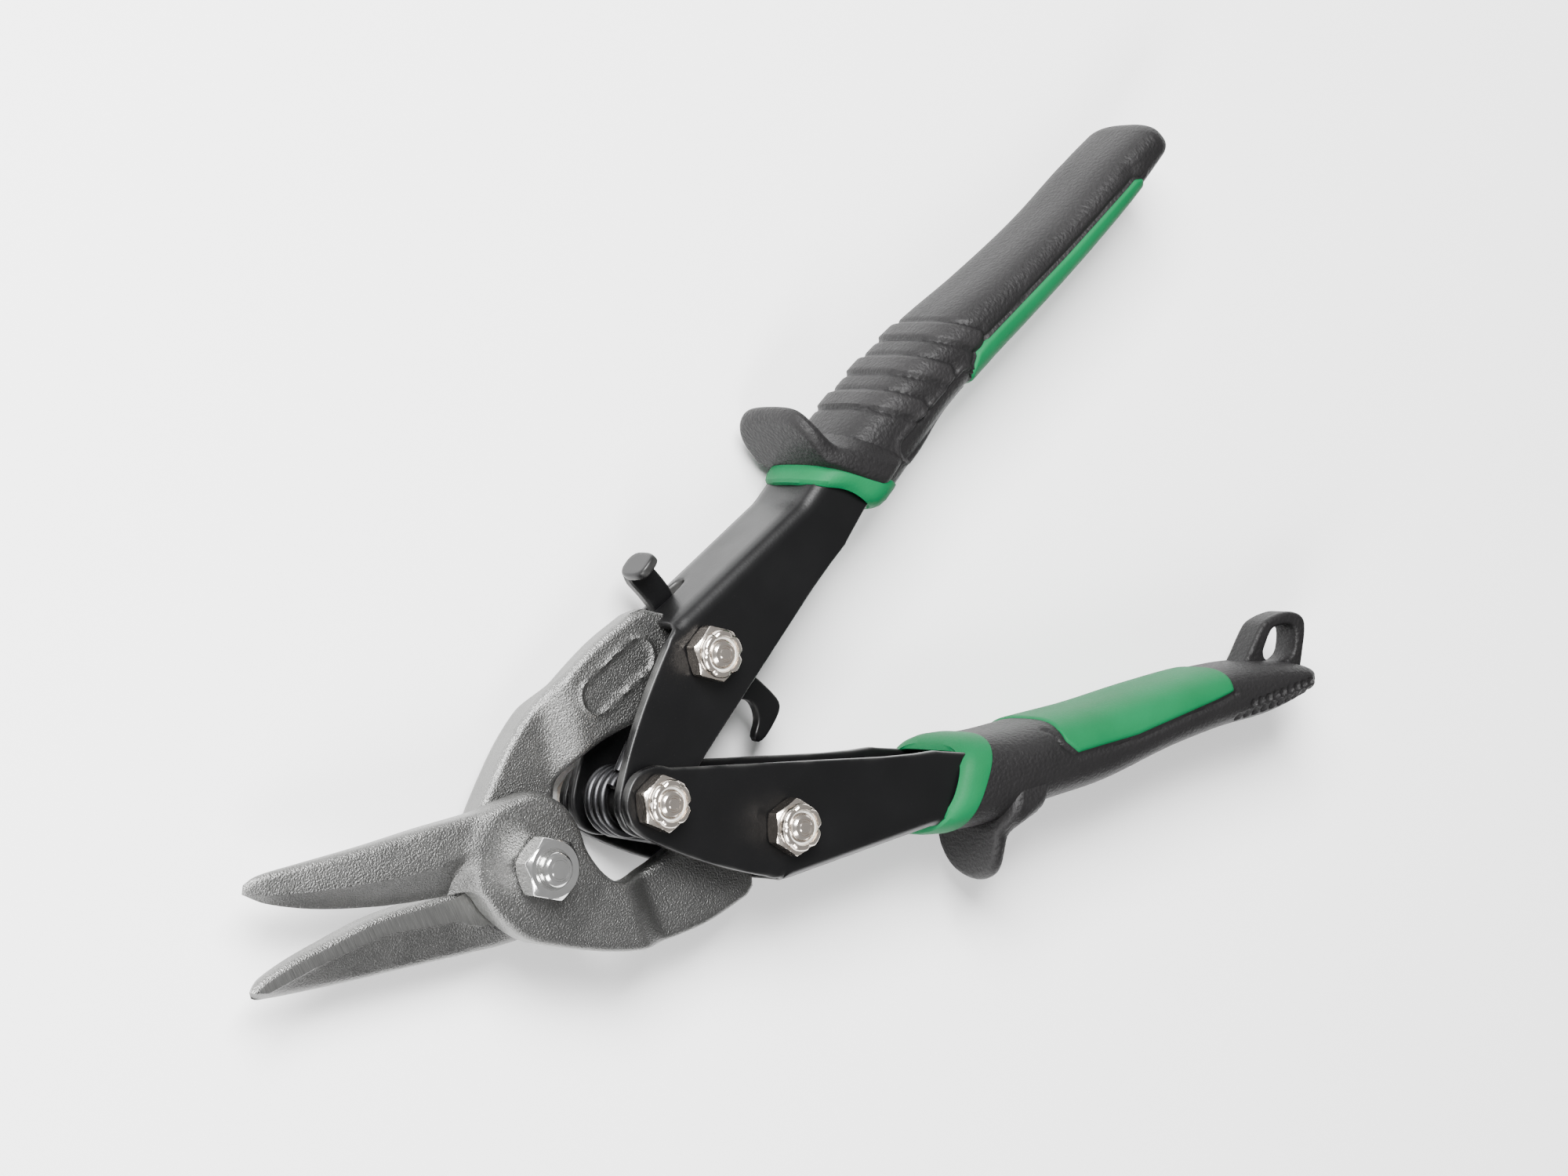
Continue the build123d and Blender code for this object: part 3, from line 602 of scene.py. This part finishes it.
# %% Nuts and bolts
def turned(profile, sides=96, hexagon=None, turn=0.0, thread=None, notches=0):
    """Grid about the z axis from rows (radius, height); hexagon is the width across flats."""
    profile = np.array(profile, float)
    angle = np.linspace(0, 2 * math.pi, sides, endpoint=False)
    radius = np.repeat(profile[:, :1], sides, 1)
    height = np.repeat(profile[:, 1:2], sides, 1)
    if hexagon:
        flat = (angle - math.radians(turn)) % (math.pi / 3) - math.pi / 6
        radius = np.minimum(radius, hexagon / 2 / np.cos(flat))
    if thread:
        low, pitch, depth = thread
        wave = np.abs(((height / pitch - angle / (2 * math.pi)) % 1) * 2 - 1)
        radius = radius - depth * wave * (height > low)
    if notches:
        bite = np.exp(-(((angle * notches / (2 * math.pi)) % 1 - 0.5) / 0.13) ** 2)
        radius = radius - 0.35 * bite * profile[:, 2:3]
        height = height - 0.30 * bite * profile[:, 2:3]
    return np.stack([radius * np.cos(angle), radius * np.sin(angle), height], -1)


def tube_faces(rows, cols, loop=False):
    """Squares between neighbouring rings; loop joins the last ring to the first."""
    r = np.arange(rows if loop else rows - 1)[:, None]
    c = np.arange(cols)[None, :]
    ahead, over = (r + 1) % rows, (c + 1) % cols
    corners = [r * cols + c, r * cols + over, ahead * cols + over, ahead * cols + c]
    return np.stack(corners, -1).reshape(-1, 4).tolist()


def closed(grid):
    """Closes both ends of a tube of rings with a point in the middle of each."""
    rows, cols, _ = grid.shape
    points = np.vstack([grid.reshape(-1, 3), grid[0].mean(0), grid[-1].mean(0)])
    last, top = rows * cols, (rows - 1) * cols
    faces = tube_faces(rows, cols)
    faces += [[last, (c + 1) % cols, c] for c in range(cols)]
    faces += [[last + 1, top + c, top + (c + 1) % cols] for c in range(cols)]
    return points, faces


def hex_rows(flats, low, high, cone=0.34):
    """Profile of a hexagon block: both ends are cut back by a cone from the corners to the flats."""
    corner, flat = flats / math.sqrt(3), flats / 2
    drop = (corner - flat) * cone * 2.4
    up = [(flat - 0.25 + (corner - flat + 0.3) * k, low + drop * k) for k in np.linspace(0, 1, 7)]
    down = [(flat - 0.25 + (corner - flat + 0.3) * k, high - drop * k) for k in np.linspace(1, 0, 9)]
    return up + down


def fastener(name, centre, body, node, rows, material, slot, **shape):
    points, faces = closed(turned(rows, **shape))
    return add_piece(name, points + centre, faces, material, body, node, crease=32)


HEX, HEAD, BOLT, NUT_HIGH = 8.9, 3.1, 2.4, 4.9


def bolt_rows(tip, radius, grip_from):
    """Shank up to a domed end with a turned ring in it."""
    rows = [(radius, z) for z in np.linspace(grip_from, tip - 0.5, 12)]
    return rows + [(radius - 0.12, tip - 0.32), (radius - 0.5, tip), (radius - 0.9, tip + 0.02),
                   (radius - 1.02, tip - 0.16), (radius - 1.3, tip - 0.14), (radius - 1.45, tip + 0.05),
                   (radius - 1.9, tip + 0.10)]


def link_set(name, centre, half, body, turn):
    """Bolt with its head on the far side, and a lock nut with a crimped collar over a nylon ring.

    A nut's rows carry a third number: how much of the crimp's notches they take.
    """
    low, top = -half - HEAD, half + NUT_HIGH
    rows = [(1.0, low + 0.02)] + [(r, z) for r, z in hex_rows(HEX, low, -half)] + \
        bolt_rows(top + 0.3, BOLT, -half + 0.05)
    fastener(name + "_bolt_turned", centre, body, (name + "_bolt",), rows, NICKEL, "nickel", hexagon=HEX, turn=turn)
    nut = [(BOLT + 0.02, half + 0.3, 0), (3.6, half + 0.02, 0)]
    nut += [(r, z, 0) for r, z in hex_rows(HEX, half, half + 3.3)]
    nut += [(4.05, half + 3.35, 0.2), (4.2, half + 3.7, 0.6), (4.22, half + 4.2, 0.9), (4.1, top - 0.35, 1),
            (3.8, top - 0.08, 1), (3.45, top, 0.8), (3.2, top - 0.08, 0.4), (3.12, top - 0.3, 0),
            (3.1, top - 0.75, 0), (BOLT + 0.02, top - 0.8, 0)]
    fastener(name + "_nut_turned", centre, body, (name + "_nut",), nut, NICKEL, "nickel", hexagon=HEX,
             turn=turn, notches=6)
    ring = [(BOLT + 0.03, top - 0.9), (2.9, top - 0.62), (3.08, top - 0.75), (3.08, top - 1.3),
            (BOLT + 0.03, top - 1.3)]
    fastener(name + "_nylon_moulding", centre, body, (name + "_nylon_insert",), ring, NYLON, "nylon")


link_set("handle_pivot", P1, 10.4, "lower_handle", 12)
link_set("upper_link", P2, 8.0, "upper_handle", 20)
link_set("lower_link", P3, 10.4, "lower_handle", 4)

HUB, PIVOT_HEX, PIVOT_R = 5.8, 10.2, 3.0
seat, top = -HUB - 4.0, HUB + 4.6
rows = [(1.0, seat + 0.02)] + hex_rows(PIVOT_HEX, seat, -HUB) + [(PIVOT_R, -5.7), (PIVOT_R, 5.9)]
rows += bolt_rows(top + 1.4, PIVOT_R, 6.2)
fastener("blade_pivot_bolt_turned", P0, "near_blade", ("blade_pivot_bolt",), rows, BRIGHT, "bright_steel",
         hexagon=PIVOT_HEX, turn=22)
rows = [(3.05, 6.1), (4.0, 5.82)] + hex_rows(PIVOT_HEX, HUB, top, 0.5)
rows += [(4.2, 10.42), (3.7, 10.36), (3.3, 10.15), (3.05, 9.9)]
fastener("blade_pivot_nut_turned", P0, "near_blade", ("blade_pivot_nut",), rows, BRIGHT, "bright_steel",
         hexagon=PIVOT_HEX, turn=22)


# %% [markdown]
# ## The return spring
#
# Wire wound three and a half turns round a sleeve on the handle bolt, with a straight leg under each
# handle's spine.  A circle is carried along the path.  The coil and lower leg ride on the lower handle and
# the other leg on the upper one, so nothing has to bend in the visible model.

# %% Spring wire
def carried(path, radius, sides=20):
    """Circle of a radius carried along a path, square to it: its frame is set by the path's direction and the z axis.
    """
    path = np.asarray(path, float)
    tangent = np.gradient(path, axis=0)
    tangent /= np.linalg.norm(tangent, axis=1)[:, None]
    side = np.cross(tangent, (0, 0, 1.0))
    side /= np.linalg.norm(side, axis=1)[:, None]
    other = np.cross(tangent, side)
    angle = np.linspace(0, 2 * math.pi, sides, endpoint=False)
    ring = np.cos(angle)[:, None] * side[:, None] + np.sin(angle)[:, None] * other[:, None]
    return path[:, None] + radius * ring


COIL_R, WIRE_R, RISE = 5.5, 0.95, 3.675


def leg_ends(lean, sign):
    """Tangent point on the coil and bearing point under the spine, for one handle."""
    reach, high = 31.0, 14.85 - 0.2455 * 3.6 - 2 - 1.05
    swing = math.degrees(math.atan2(high, reach)) + math.degrees(math.acos(COIL_R / math.hypot(high, reach)))
    start = math.radians(sign * (lean + swing))
    turn = math.radians(lean)
    tip = (reach * math.cos(turn) - high * math.sin(turn), sign * (reach * math.sin(turn) + high * math.cos(turn)))
    return start, np.array(tip)


up_start, up_tip = leg_ends(LEAN_UP, 1)
low_start, low_tip = leg_ends(LEAN_DOWN, -1)
sweep = up_start - low_start + 2 * math.pi * 3
share = np.linspace(0, 1, 180)
wind = low_start + sweep * share
coil = np.column_stack([COIL_R * np.cos(wind), COIL_R * np.sin(wind), RISE * (2 * share - 1)])
low_foot = np.array([*low_tip, -6.9])
run = low_foot - coil[0]
lower_leg = through(coil[0], coil[0] + run * (0.2, 0.2, 0), coil[0] + run * (0.34, 0.34, 0.4),
                    coil[0] + run * (0.48, 0.48, 1), coil[0] + run * (0.75, 0.75, 1), low_foot, steps=9)
upper_leg = np.column_stack([np.linspace(0, 1, 12)[:, None] * (up_tip - coil[-1, :2]) + coil[-1, :2],
                             np.full(12, RISE)])
points, faces = closed(carried(np.vstack([lower_leg[:0:-1], coil]), WIRE_R))
add_piece("spring_coil", points + P1, faces, WIRE, "lower_handle", ("torsion_spring",))
points, faces = closed(carried(upper_leg[1:], WIRE_R))
add_piece("spring_upper_leg", points + P1, faces, WIRE, "upper_handle")

# %% [markdown]
# ## The latch
#
# One stamping: a hook that drops over the lower link bolt, a boss round its own bolt and a narrow neck that
# passes through a slot in the spine.  The thumb pad is bent over at the top of the neck.

# %% Latch
hook = soften([(-4.3, -2.9), (-5.4, 0.0), (-4.4, 3.1), (-1.6, 5.2), (1.6, 5.2), (2.9, 6.8), (3.7, 9.6), (4.0, 16.6),
               (9.3, 16.6), (8.9, 8.4), (7.6, 5.0), (5.6, 2.0), (4.9, -2.4), (6.7, -10.1), (7.8, -16.1),
               (7.9, -23.2), (7.0, -24.9), (4.8, -25.5), (0.6, -25.7), (-1.2, -24.9), (-0.7, -23.3),
               (2.3, -22.5), (4.1, -19.3), (2.6, -16.7), (-0.2, -15.1), (-3.0, -8.2)], 2)
points, faces, edge = plate([hook], flat_at(1.0), flat_at(-1.0), 0.45, 0.9)
points = points + (LINK[0], LINK[1], -3.7)
add_piece("latch_stamping", to_upper(points), faces, BLACK_COAT, "latch", ("latch",), edge, 50)
pad = soften([(3.9, -4.6), (9.2, -4.6), (9.2, 1.2), (8.2, 2.7), (5.0, 2.7), (3.9, 1.2)], 2)
points, faces, edge = plate([pad], flat_at(0.9), flat_at(-0.9), 0.5, 0.7)
points = np.column_stack([points[:, 0] + LINK[0], LINK[1] + 15.9 - points[:, 2], points[:, 1]])
add_piece("latch_thumb_pad", to_upper(points), faces, BLACK_COAT, "latch", (), edge, 50)

# %% [markdown]
# ## The grips
#
# Every section of a grip is a superellipse, |a|^n + |b|^n = 1 with n near 3: squarer than an ellipse,
# rounder than a box.  Rows give the inner edge, the outer edge and the half width along the handle, and a
# cubic joins them.  The front end is cut on a slant and the back end is closed over a rounded cap.

# %% Grip surfaces
SQUARE = 2.9           # power of the superellipse
RECESS_HALF = 3.9      # half width of the recess that takes the hang loop
UPPER = np.array([(66, 8.6, 8.0, 10.4), (80, 8.8, 7.0, 10.8), (95, 9.2, 4.8, 10.8), (107, 11.0, 2.2, 10.6),
                  (121, 13.6, -2.0, 10.3), (138, 16.4, -6.3, 10.0), (154, 18.4, -9.0, 9.8), (167, 18.8, -12.0, 9.6)])
LOWER = np.array([(64, 9.0, 8.4, 12.2), (75, 9.7, 7.6, 12.7), (87, 11.4, 3.9, 12.5), (101, 13.5, 0.6, 12.0),
                  (118, 17.2, -5.2, 11.4), (130, 19.5, -8.4, 10.8), (142, 20.8, -10.8, 10.2),
                  (155, 19.6, -15.9, 8.9)])


def glide(x, rows, column):
    """Cubic through the rows, with slopes taken from the neighbours on both sides."""
    xs, ys = rows[:, 0], rows[:, column]
    slope = np.gradient(ys, xs)
    k = np.clip(np.searchsorted(xs, x) - 1, 0, len(xs) - 2)
    gap = xs[k + 1] - xs[k]
    u = np.clip((x - xs[k]) / gap, 0, 1)
    return ((2 * u**3 - 3 * u**2 + 1) * ys[k] + (u**3 - 2 * u**2 + u) * gap * slope[k]
            + (3 * u**2 - 2 * u**3) * ys[k + 1] + (u**3 - u**2) * gap * slope[k + 1])


def grip_point(rows, s, angle, grow=0.0, squeeze=1.0):
    """Point on a grip section: angle 0 points away from the other handle, 90 degrees to the nut side."""
    inner, outer, half = glide(s, rows, 1), glide(s, rows, 2), glide(s, rows, 3)
    middle, reach = (outer - inner) / 2, (outer + inner) / 2
    power = 2 / SQUARE
    c, d = np.cos(angle), np.sin(angle)
    t = middle + (reach + grow) * squeeze * np.sign(c) * np.abs(c) ** power
    z = (half + grow) * squeeze * np.sign(d) * np.abs(d) ** power
    return s - 0.4 * t * ease((100 - s) / 30), t, z


def border(line, s):
    """How far towards the other handle the black reaches before the green begins."""
    line = np.array(line)
    return np.interp(s, line[:, 0], line[:, 1])


def recessed(x, t, z, recess, deeper=0.0):
    """Pushes the points in a recess (first s, last s, floor t) out to its floor; None is no recess."""
    if not recess:
        return t
    hold = (x > recess[0]) & (x < recess[1]) & (np.abs(z) < RECESS_HALF)
    return np.where(hold, np.maximum(t, recess[2] + deeper), t)


UP_BORDER = [(100.9, 9.4), (102.0, 6.8), (105.0, 5.4), (107.4, 5.6), (130.6, 10.4), (152.9, 14.4), (154.5, 16.0)]
LOW_BORDER = [(87.2, 10.2), (88.2, 7.6), (91.5, 5.4), (106.6, 8.1), (126.1, 14.0), (129.0, 15.0), (130.4, 15.6)]


def ribs(s, t, marks):
    """Thumb ribs: slanting bars with rounded ends, raised a little, with a groove round each."""
    lift = np.zeros_like(s)
    for place, low, length in marks:
        along = np.clip(t - low, 0, length)
        gap = np.hypot(s - (place - 0.47 * along), t - (low + along)) - 2.1
        lift = lift + 0.38 * ease(-gap / 0.7) - 0.32 * np.exp(-((gap - 0.35) / 0.42) ** 2)
    return lift


def dots(s, t, first, last, count, size):
    """A row of dimples from first to last."""
    lift = np.zeros_like(s)
    for k in np.linspace(0, 1, count):
        at = (first[0] + k * (last[0] - first[0]), first[1] + k * (last[1] - first[1]))
        lift -= 0.5 * ease((size - np.hypot(s - at[0], t - at[1])) / 0.45)
    return lift


CAP = 3.2              # length of the rounded end


def grip(name, rows, line, start, stop, place, body, node, flanks, bars=(), recess=None):
    """Grid of sections from the mouth to the cap, with the two sides carrying the moulded detail."""
    stations = np.concatenate([np.linspace(start, stop - CAP, int((stop - start) / 0.42)),
                               stop - CAP * np.cos(np.linspace(0, math.pi / 2, 12)[1:])])
    angles = np.linspace(0, 2 * math.pi, 260, endpoint=False)
    s, a = np.meshgrid(stations, angles, indexing="ij")
    cap = np.sqrt(np.maximum(1 - np.clip((s - (stop - CAP)) / CAP, 0, 1) ** 2, 0))
    shrink = 1 - 0.36 * (1 - cap)
    front = np.clip(s - start, 0, 1)
    shrink = shrink * (1 - 0.08 * (1 - np.sqrt(1 - (1 - front) ** 2)))
    x, t, z = grip_point(rows, s, a, 0.0, shrink)
    lift = flanks(x, t) * ease((np.abs(z) - 0.62 * glide(s, rows, 3)) / 1.5) + ribs(x, t, bars)
    edge_at = border(line, x)
    seam = (x > line[0][0] - 1) & (x < line[-1][0] + 1)
    lift = lift - 0.35 * np.exp(-((-t - edge_at + 0.5) / 0.45) ** 2) * seam
    grown = grip_point(rows, s, a, 1.0, shrink)
    x = x + lift * (grown[0] - x)
    t, z = t + lift * (grown[1] - t), z + lift * (grown[2] - z)
    t = recessed(x, t, z, recess)
    x = x + 0.06 * (t - rows[-1, 2]) * ease((s - (stop - 20)) / 20)
    points, faces = closed(np.stack([x, t, z], -1))
    edge = np.concatenate([np.clip(lift.ravel() * 2, 0, 1), [0, 0]])
    add_piece(name, place(points), faces, RUBBER, body, (node,), edge, 40)


def upper_flanks(x, t):
    """An empty oval and the shallow gate mark near the end."""
    return sunk_oval(oval(x, t, (90.7, -5.7), -9, 11.6, 2.7), 0.28, 0.25) \
        - 0.35 * np.exp(-((x - 153.8) ** 2 + (t + 12.6) ** 2) / 3.0)


def lower_flanks(x, t):
    """Two rows of dimples along the tail."""
    return dots(x, t, (135.4, -13.2), (152.0, -17.3), 10, 0.95) + \
        dots(x, t, (132.5, -10.7), (150.6, -15.1), 10, 0.95)


grip("upper_grip_moulding", UPPER, UP_BORDER, 72.0, 165.0, to_upper, "upper_handle", "upper_grip", upper_flanks,
     [(106.4, -3.6, 24.0), (97.2, -2.1, 24.0), (88.4, -1.2, 24.0)], (133, 162, -12.0))
grip("lower_grip_moulding", LOWER, LOW_BORDER, 69.0, 153.4, to_lower, "lower_handle", "lower_grip", lower_flanks)


# %% [markdown]
# ## The green inlays
#
# Each inlay is a patch of the same surface, standing 0.4 mm proud: the border says how far round the
# section it reaches at every station, and its rim is rolled down into the groove.

# %% Inlays
def inlay(name, rows, line, place, body, node, proud=0.4, recess=None):
    """Outer and inner surface of the patch, joined all round its border."""
    first, last = line[0][0], line[-1][0]
    stations = np.concatenate([[first] * 2, np.linspace(first, last, 150), [last] * 2])
    sink = np.concatenate([[1.6, 0.5], np.zeros(150), [0.5, 1.6]])
    share = np.linspace(-1, 1, 121)
    s, v = np.meshgrid(stations, share, indexing="ij")
    inner, outer = glide(s, rows, 1), glide(s, rows, 2)
    middle, reach = (outer - inner) / 2, (outer + inner) / 2
    edge_share = (np.minimum(border(line, s), inner - 0.4) + middle) / reach
    wide = np.arccos(np.clip(edge_share, 0.02, 0.98) ** (SQUARE / 2))
    angle = math.pi - wide * v
    half_run = wide * glide(s, rows, 3) * 0.9
    rim = np.minimum.reduce([half_run * (1 - np.abs(v)), s - first, last - s])
    rolled = np.sqrt(np.maximum(1 - (1 - np.clip(rim / 0.9, 0, 1)) ** 2, 0))
    height = -0.5 + (proud + 0.5) * rolled - sink[:, None]
    x, t, z = grip_point(rows, s, angle, 0.0)
    far = grip_point(rows, s, angle, 1.0)
    t, z = t + height * (far[1] - t), z + height * (far[2] - z)
    top = np.stack([x, recessed(x, t, z, recess), z], -1)
    x, t, z = grip_point(rows, s, angle, -1.4)
    under = np.stack([x, recessed(x, t, z, recess, 0.6), z], -1)
    points = np.vstack([top.reshape(-1, 3), under.reshape(-1, 3)])
    n = s.size
    grid = np.arange(n).reshape(s.shape)
    quads = np.stack([grid[:-1, :-1], grid[1:, :-1], grid[1:, 1:], grid[:-1, 1:]], -1).reshape(-1, 4)
    faces = quads.tolist() + (quads[:, ::-1] + n).tolist()
    ring = np.concatenate([grid[0], grid[1:, -1], grid[-1, -2::-1], grid[-2:0:-1, 0]])
    faces += [[b, a, a + n, b + n] for a, b in zip(ring, np.roll(ring, -1))]
    add_piece(name, place(points), faces, GREEN, body, (node,), np.zeros(2 * n), 50)


inlay("upper_inlay_moulding", UPPER, UP_BORDER, to_upper, "upper_handle", "upper_inlay", recess=(133, 162, -11.6))
inlay("lower_inlay_moulding", LOWER, LOW_BORDER, to_lower, "lower_handle", "lower_inlay")


# %% [markdown]
# ## Collars and finger guards
#
# A green collar closes the front of each grip round the steel channel.  Behind it the black moulding stands
# up on the outer side as a finger guard that keeps the hand off the linkage.

# %% Collars
def collar(name, rows, start, back, mouth, wave, place, body, node):
    """Walks a closed strip: out of the mouth, over the chamfered front, back along the outside, in again."""
    angles = np.linspace(0, 2 * math.pi, 220, endpoint=False)
    walk = [(back + 1.5, -1.2), (back - 0.2, -0.1), (back - 0.5, 0.28), (back - 1.1, 0.36), (start + 2.4, 0.30),
            (start + 1.0, -0.05), (start + 0.35, -0.6), (start, -1.3)]
    rings = []
    for s, grow in walk:
        x, t, z = grip_point(rows, np.full_like(angles, float(s)), angles, grow)
        ahead = np.clip((back - s) / (back - start), 0, 1)
        x = x + wave * ahead * (np.abs(z) / glide(np.array(float(s)), rows, 3)) ** 4 * np.exp(-((t - 1.0) / 5.0) ** 2)
        rings.append(np.stack([x, t, z], -1))
    inner, outer, half = mouth
    front = rings[-1]
    order = np.argsort(front[:, 1])
    c, d = np.cos(angles), np.sin(angles)
    power = 0.32
    hole_t = (outer - inner) / 2 + (outer + inner) / 2 * np.sign(c) * np.abs(c) ** power
    hole_z = half * np.sign(d) * np.abs(d) ** power
    for depth, grow in ((0.25, 0.30), (0.9, 0.0), (back - start + 1, 0.0)):
        t = hole_t + grow * np.sign(c) * np.abs(c) ** power
        z = hole_z + grow * np.sign(d) * np.abs(d) ** power
        rings.append(np.stack([np.interp(t, front[order, 1], front[order, 0]) + depth, t, z], -1))
    grid = np.array(rings)
    faces = tube_faces(len(grid), len(angles), loop=True)
    edge = np.zeros(grid.shape[0] * grid.shape[1])
    add_piece(name, place(grid.reshape(-1, 3)), faces, GREEN, body, (node,), edge, 34)


collar("upper_collar_moulding", UPPER, 67.4, 73.6, (4.9, 6.1, 8.1), 2.0, to_upper, "upper_handle", "upper_collar")
collar("lower_collar_moulding", LOWER, 64.4, 70.6, (6.2, 6.1, 10.5), 1.0, to_lower, "lower_handle", "lower_collar")


# %% Finger guards
def guard(name, rows, at, half, rise, corner, low, wide, place, body):
    """Saddle-shaped flange: a plate in (z, t) whose feet run down both flanks of the grip.

    Its front face follows the collar and its back face runs out into the grip, over a fillet that is
    thickest at the grip's surface and dies away with the distance from it.
    """
    line = soften([(-wide * 0.9, low), (-wide, low + 5), (-wide, 5.5), (-half, 9.0), (-half, rise - corner),
                   (-half + corner * 0.35, rise - corner * 0.3), (-half + corner, rise), (half - corner, rise),
                   (half - corner * 0.35, rise - corner * 0.3), (half, rise - corner), (half, 9.0), (wide, 5.5),
                   (wide, low + 5), (wide * 0.9, low)], 3)
    inner, outer, deep = [glide(np.array([at]), rows, k)[0] for k in (1, 2, 3)]

    def off_grip(z, t):
        """About the distance outside the grip's own section."""
        reach, middle = (outer + inner) / 2, (outer - inner) / 2
        share = (np.abs((t - middle) / reach) ** SQUARE + np.abs(z / deep) ** SQUARE) ** (1 / SQUARE)
        return np.maximum((share - 1) * deep, 0)

    def back(z, t):
        return 1.5 + 3.8 * np.exp(-off_grip(z, t) / 1.7)

    def front(z, t):
        return -1.5 - 0.6 * np.exp(-off_grip(z, t) / 1.5)

    points, faces, edge = plate([line], back, front, 1.3, 0.7)
    t = points[:, 1]
    s = at + points[:, 2] + 0.42 * np.maximum(8 - t, 0) + 0.02 * np.maximum(t - 8, 0) ** 2
    add_piece(name, place(np.column_stack([s, t, points[:, 0]])), faces, RUBBER, body,
              (), np.zeros(len(points)), 40)


guard("upper_finger_guard", UPPER, 70.2, 11.0, 18.4, 5.4, -6.0, 12.0, to_upper, "upper_handle")
guard("lower_finger_guard", LOWER, 77.0, 8.6, 17.4, 6.6, -3.0, 12.9, to_lower, "lower_handle")

# %% [markdown]
# ## The hang loop
#
# A thick flat loop round a tapering window, rounded along every edge.

# %% Hang loop
loop = soften([(134.0, 15.0), (136.6, 17.6), (139.4, 20.0), (142.9, 26.2), (144.6, 28.2), (149.8, 29.9),
               (153.4, 29.4), (155.0, 27.4), (153.6, 20.0), (153.0, 15.5)], 2)
window = soften([(143.4, 20.4), (145.9, 26.0), (147.2, 27.0), (150.6, 27.4), (152.4, 26.4), (151.4, 20.4)], 2)
points, faces, edge = plate([loop, window], flat_at(3.1), flat_at(-3.1), 0.8, 0.7)
points = np.column_stack([points[:, 0], -points[:, 1], points[:, 2]])
add_piece("hang_loop_moulding", to_lower(points), faces, RUBBER, "lower_handle", (),
          np.zeros(len(points)), 40)

# %% [markdown]
# ## What stays as it was packed
#
# The spacers and the spring's sleeve are plain turned rings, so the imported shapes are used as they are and
# only given a finish.

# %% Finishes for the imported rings
for piece in bpy.data.objects:
    if piece.type == "MESH" and any(word in piece.name for word in ("spacer", "spring_sleeve")):
        for holder in piece.material_slots:
            holder.material = ZINC
        print("finished", piece.name)

# %% [markdown]
# ## Floor, light and camera
#
# A pale, even floor, one large soft light high behind the jaws, a weaker one in front, and a bright sky.
# The camera stands above the jaws and looks along the tool, about 50 degrees down.

# %% Setting
floor = Recipe("pale floor", (0.95, 0.95, 0.95), roughness=0.9)
bpy.ops.mesh.primitive_plane_add(size=6, location=(0, 0, -0.0001))
ground = bpy.context.object
ground.name = "floor"
ground.data.materials.append(floor.material)

sky = bpy.data.worlds.new("soft sky")
bpy.context.scene.world = sky
sky.use_nodes = True
sky.node_tree.nodes["Background"].inputs["Color"].default_value = (1, 1, 1, 1)
sky.node_tree.nodes["Background"].inputs["Strength"].default_value = 0.42


def area(name, place, size, power, target=(0.04, 0, 0.01)):
    light = bpy.data.lights.new(name, "AREA")
    light.shape, light.size, light.size_y, light.energy = "RECTANGLE", size[0], size[1], power
    lamp = bpy.data.objects.new(name, light)
    bpy.context.scene.collection.objects.link(lamp)
    back = np.array(place, float) - target
    back /= np.linalg.norm(back)
    right = np.cross((0, 0, 1.0), back)
    right /= np.linalg.norm(right)
    up = np.cross(back, right)
    matrix = Matrix([[right[k], up[k], back[k], place[k]] for k in range(3)] + [[0, 0, 0, 1]])
    lamp.matrix_world = matrix
    return lamp


area("key", (-0.20, 0.75, 0.85), (0.55, 0.55), 62)
area("fill", (-0.8, -0.35, 0.6), (0.4, 0.7), 18)

camera = bpy.data.cameras.new("view")
camera.lens, camera.sensor_width, camera.sensor_fit = 141.786, 36, "HORIZONTAL"
camera.clip_start, camera.clip_end = 0.05, 20
eye = bpy.data.objects.new("view", camera)
bpy.context.scene.collection.objects.link(eye)
right, down, ahead = ((0.71832, -0.36269, 0.5937), (-0.46099, -0.88726, 0.01573), (0.52106, -0.28499, -0.80453))
eye.matrix_world = Matrix([[right[k], -down[k], -ahead[k], place] for k, place in
                           enumerate((-0.52083, 0.32766, 0.89107))] + [[0, 0, 0, 1]])
bpy.context.scene.camera = eye
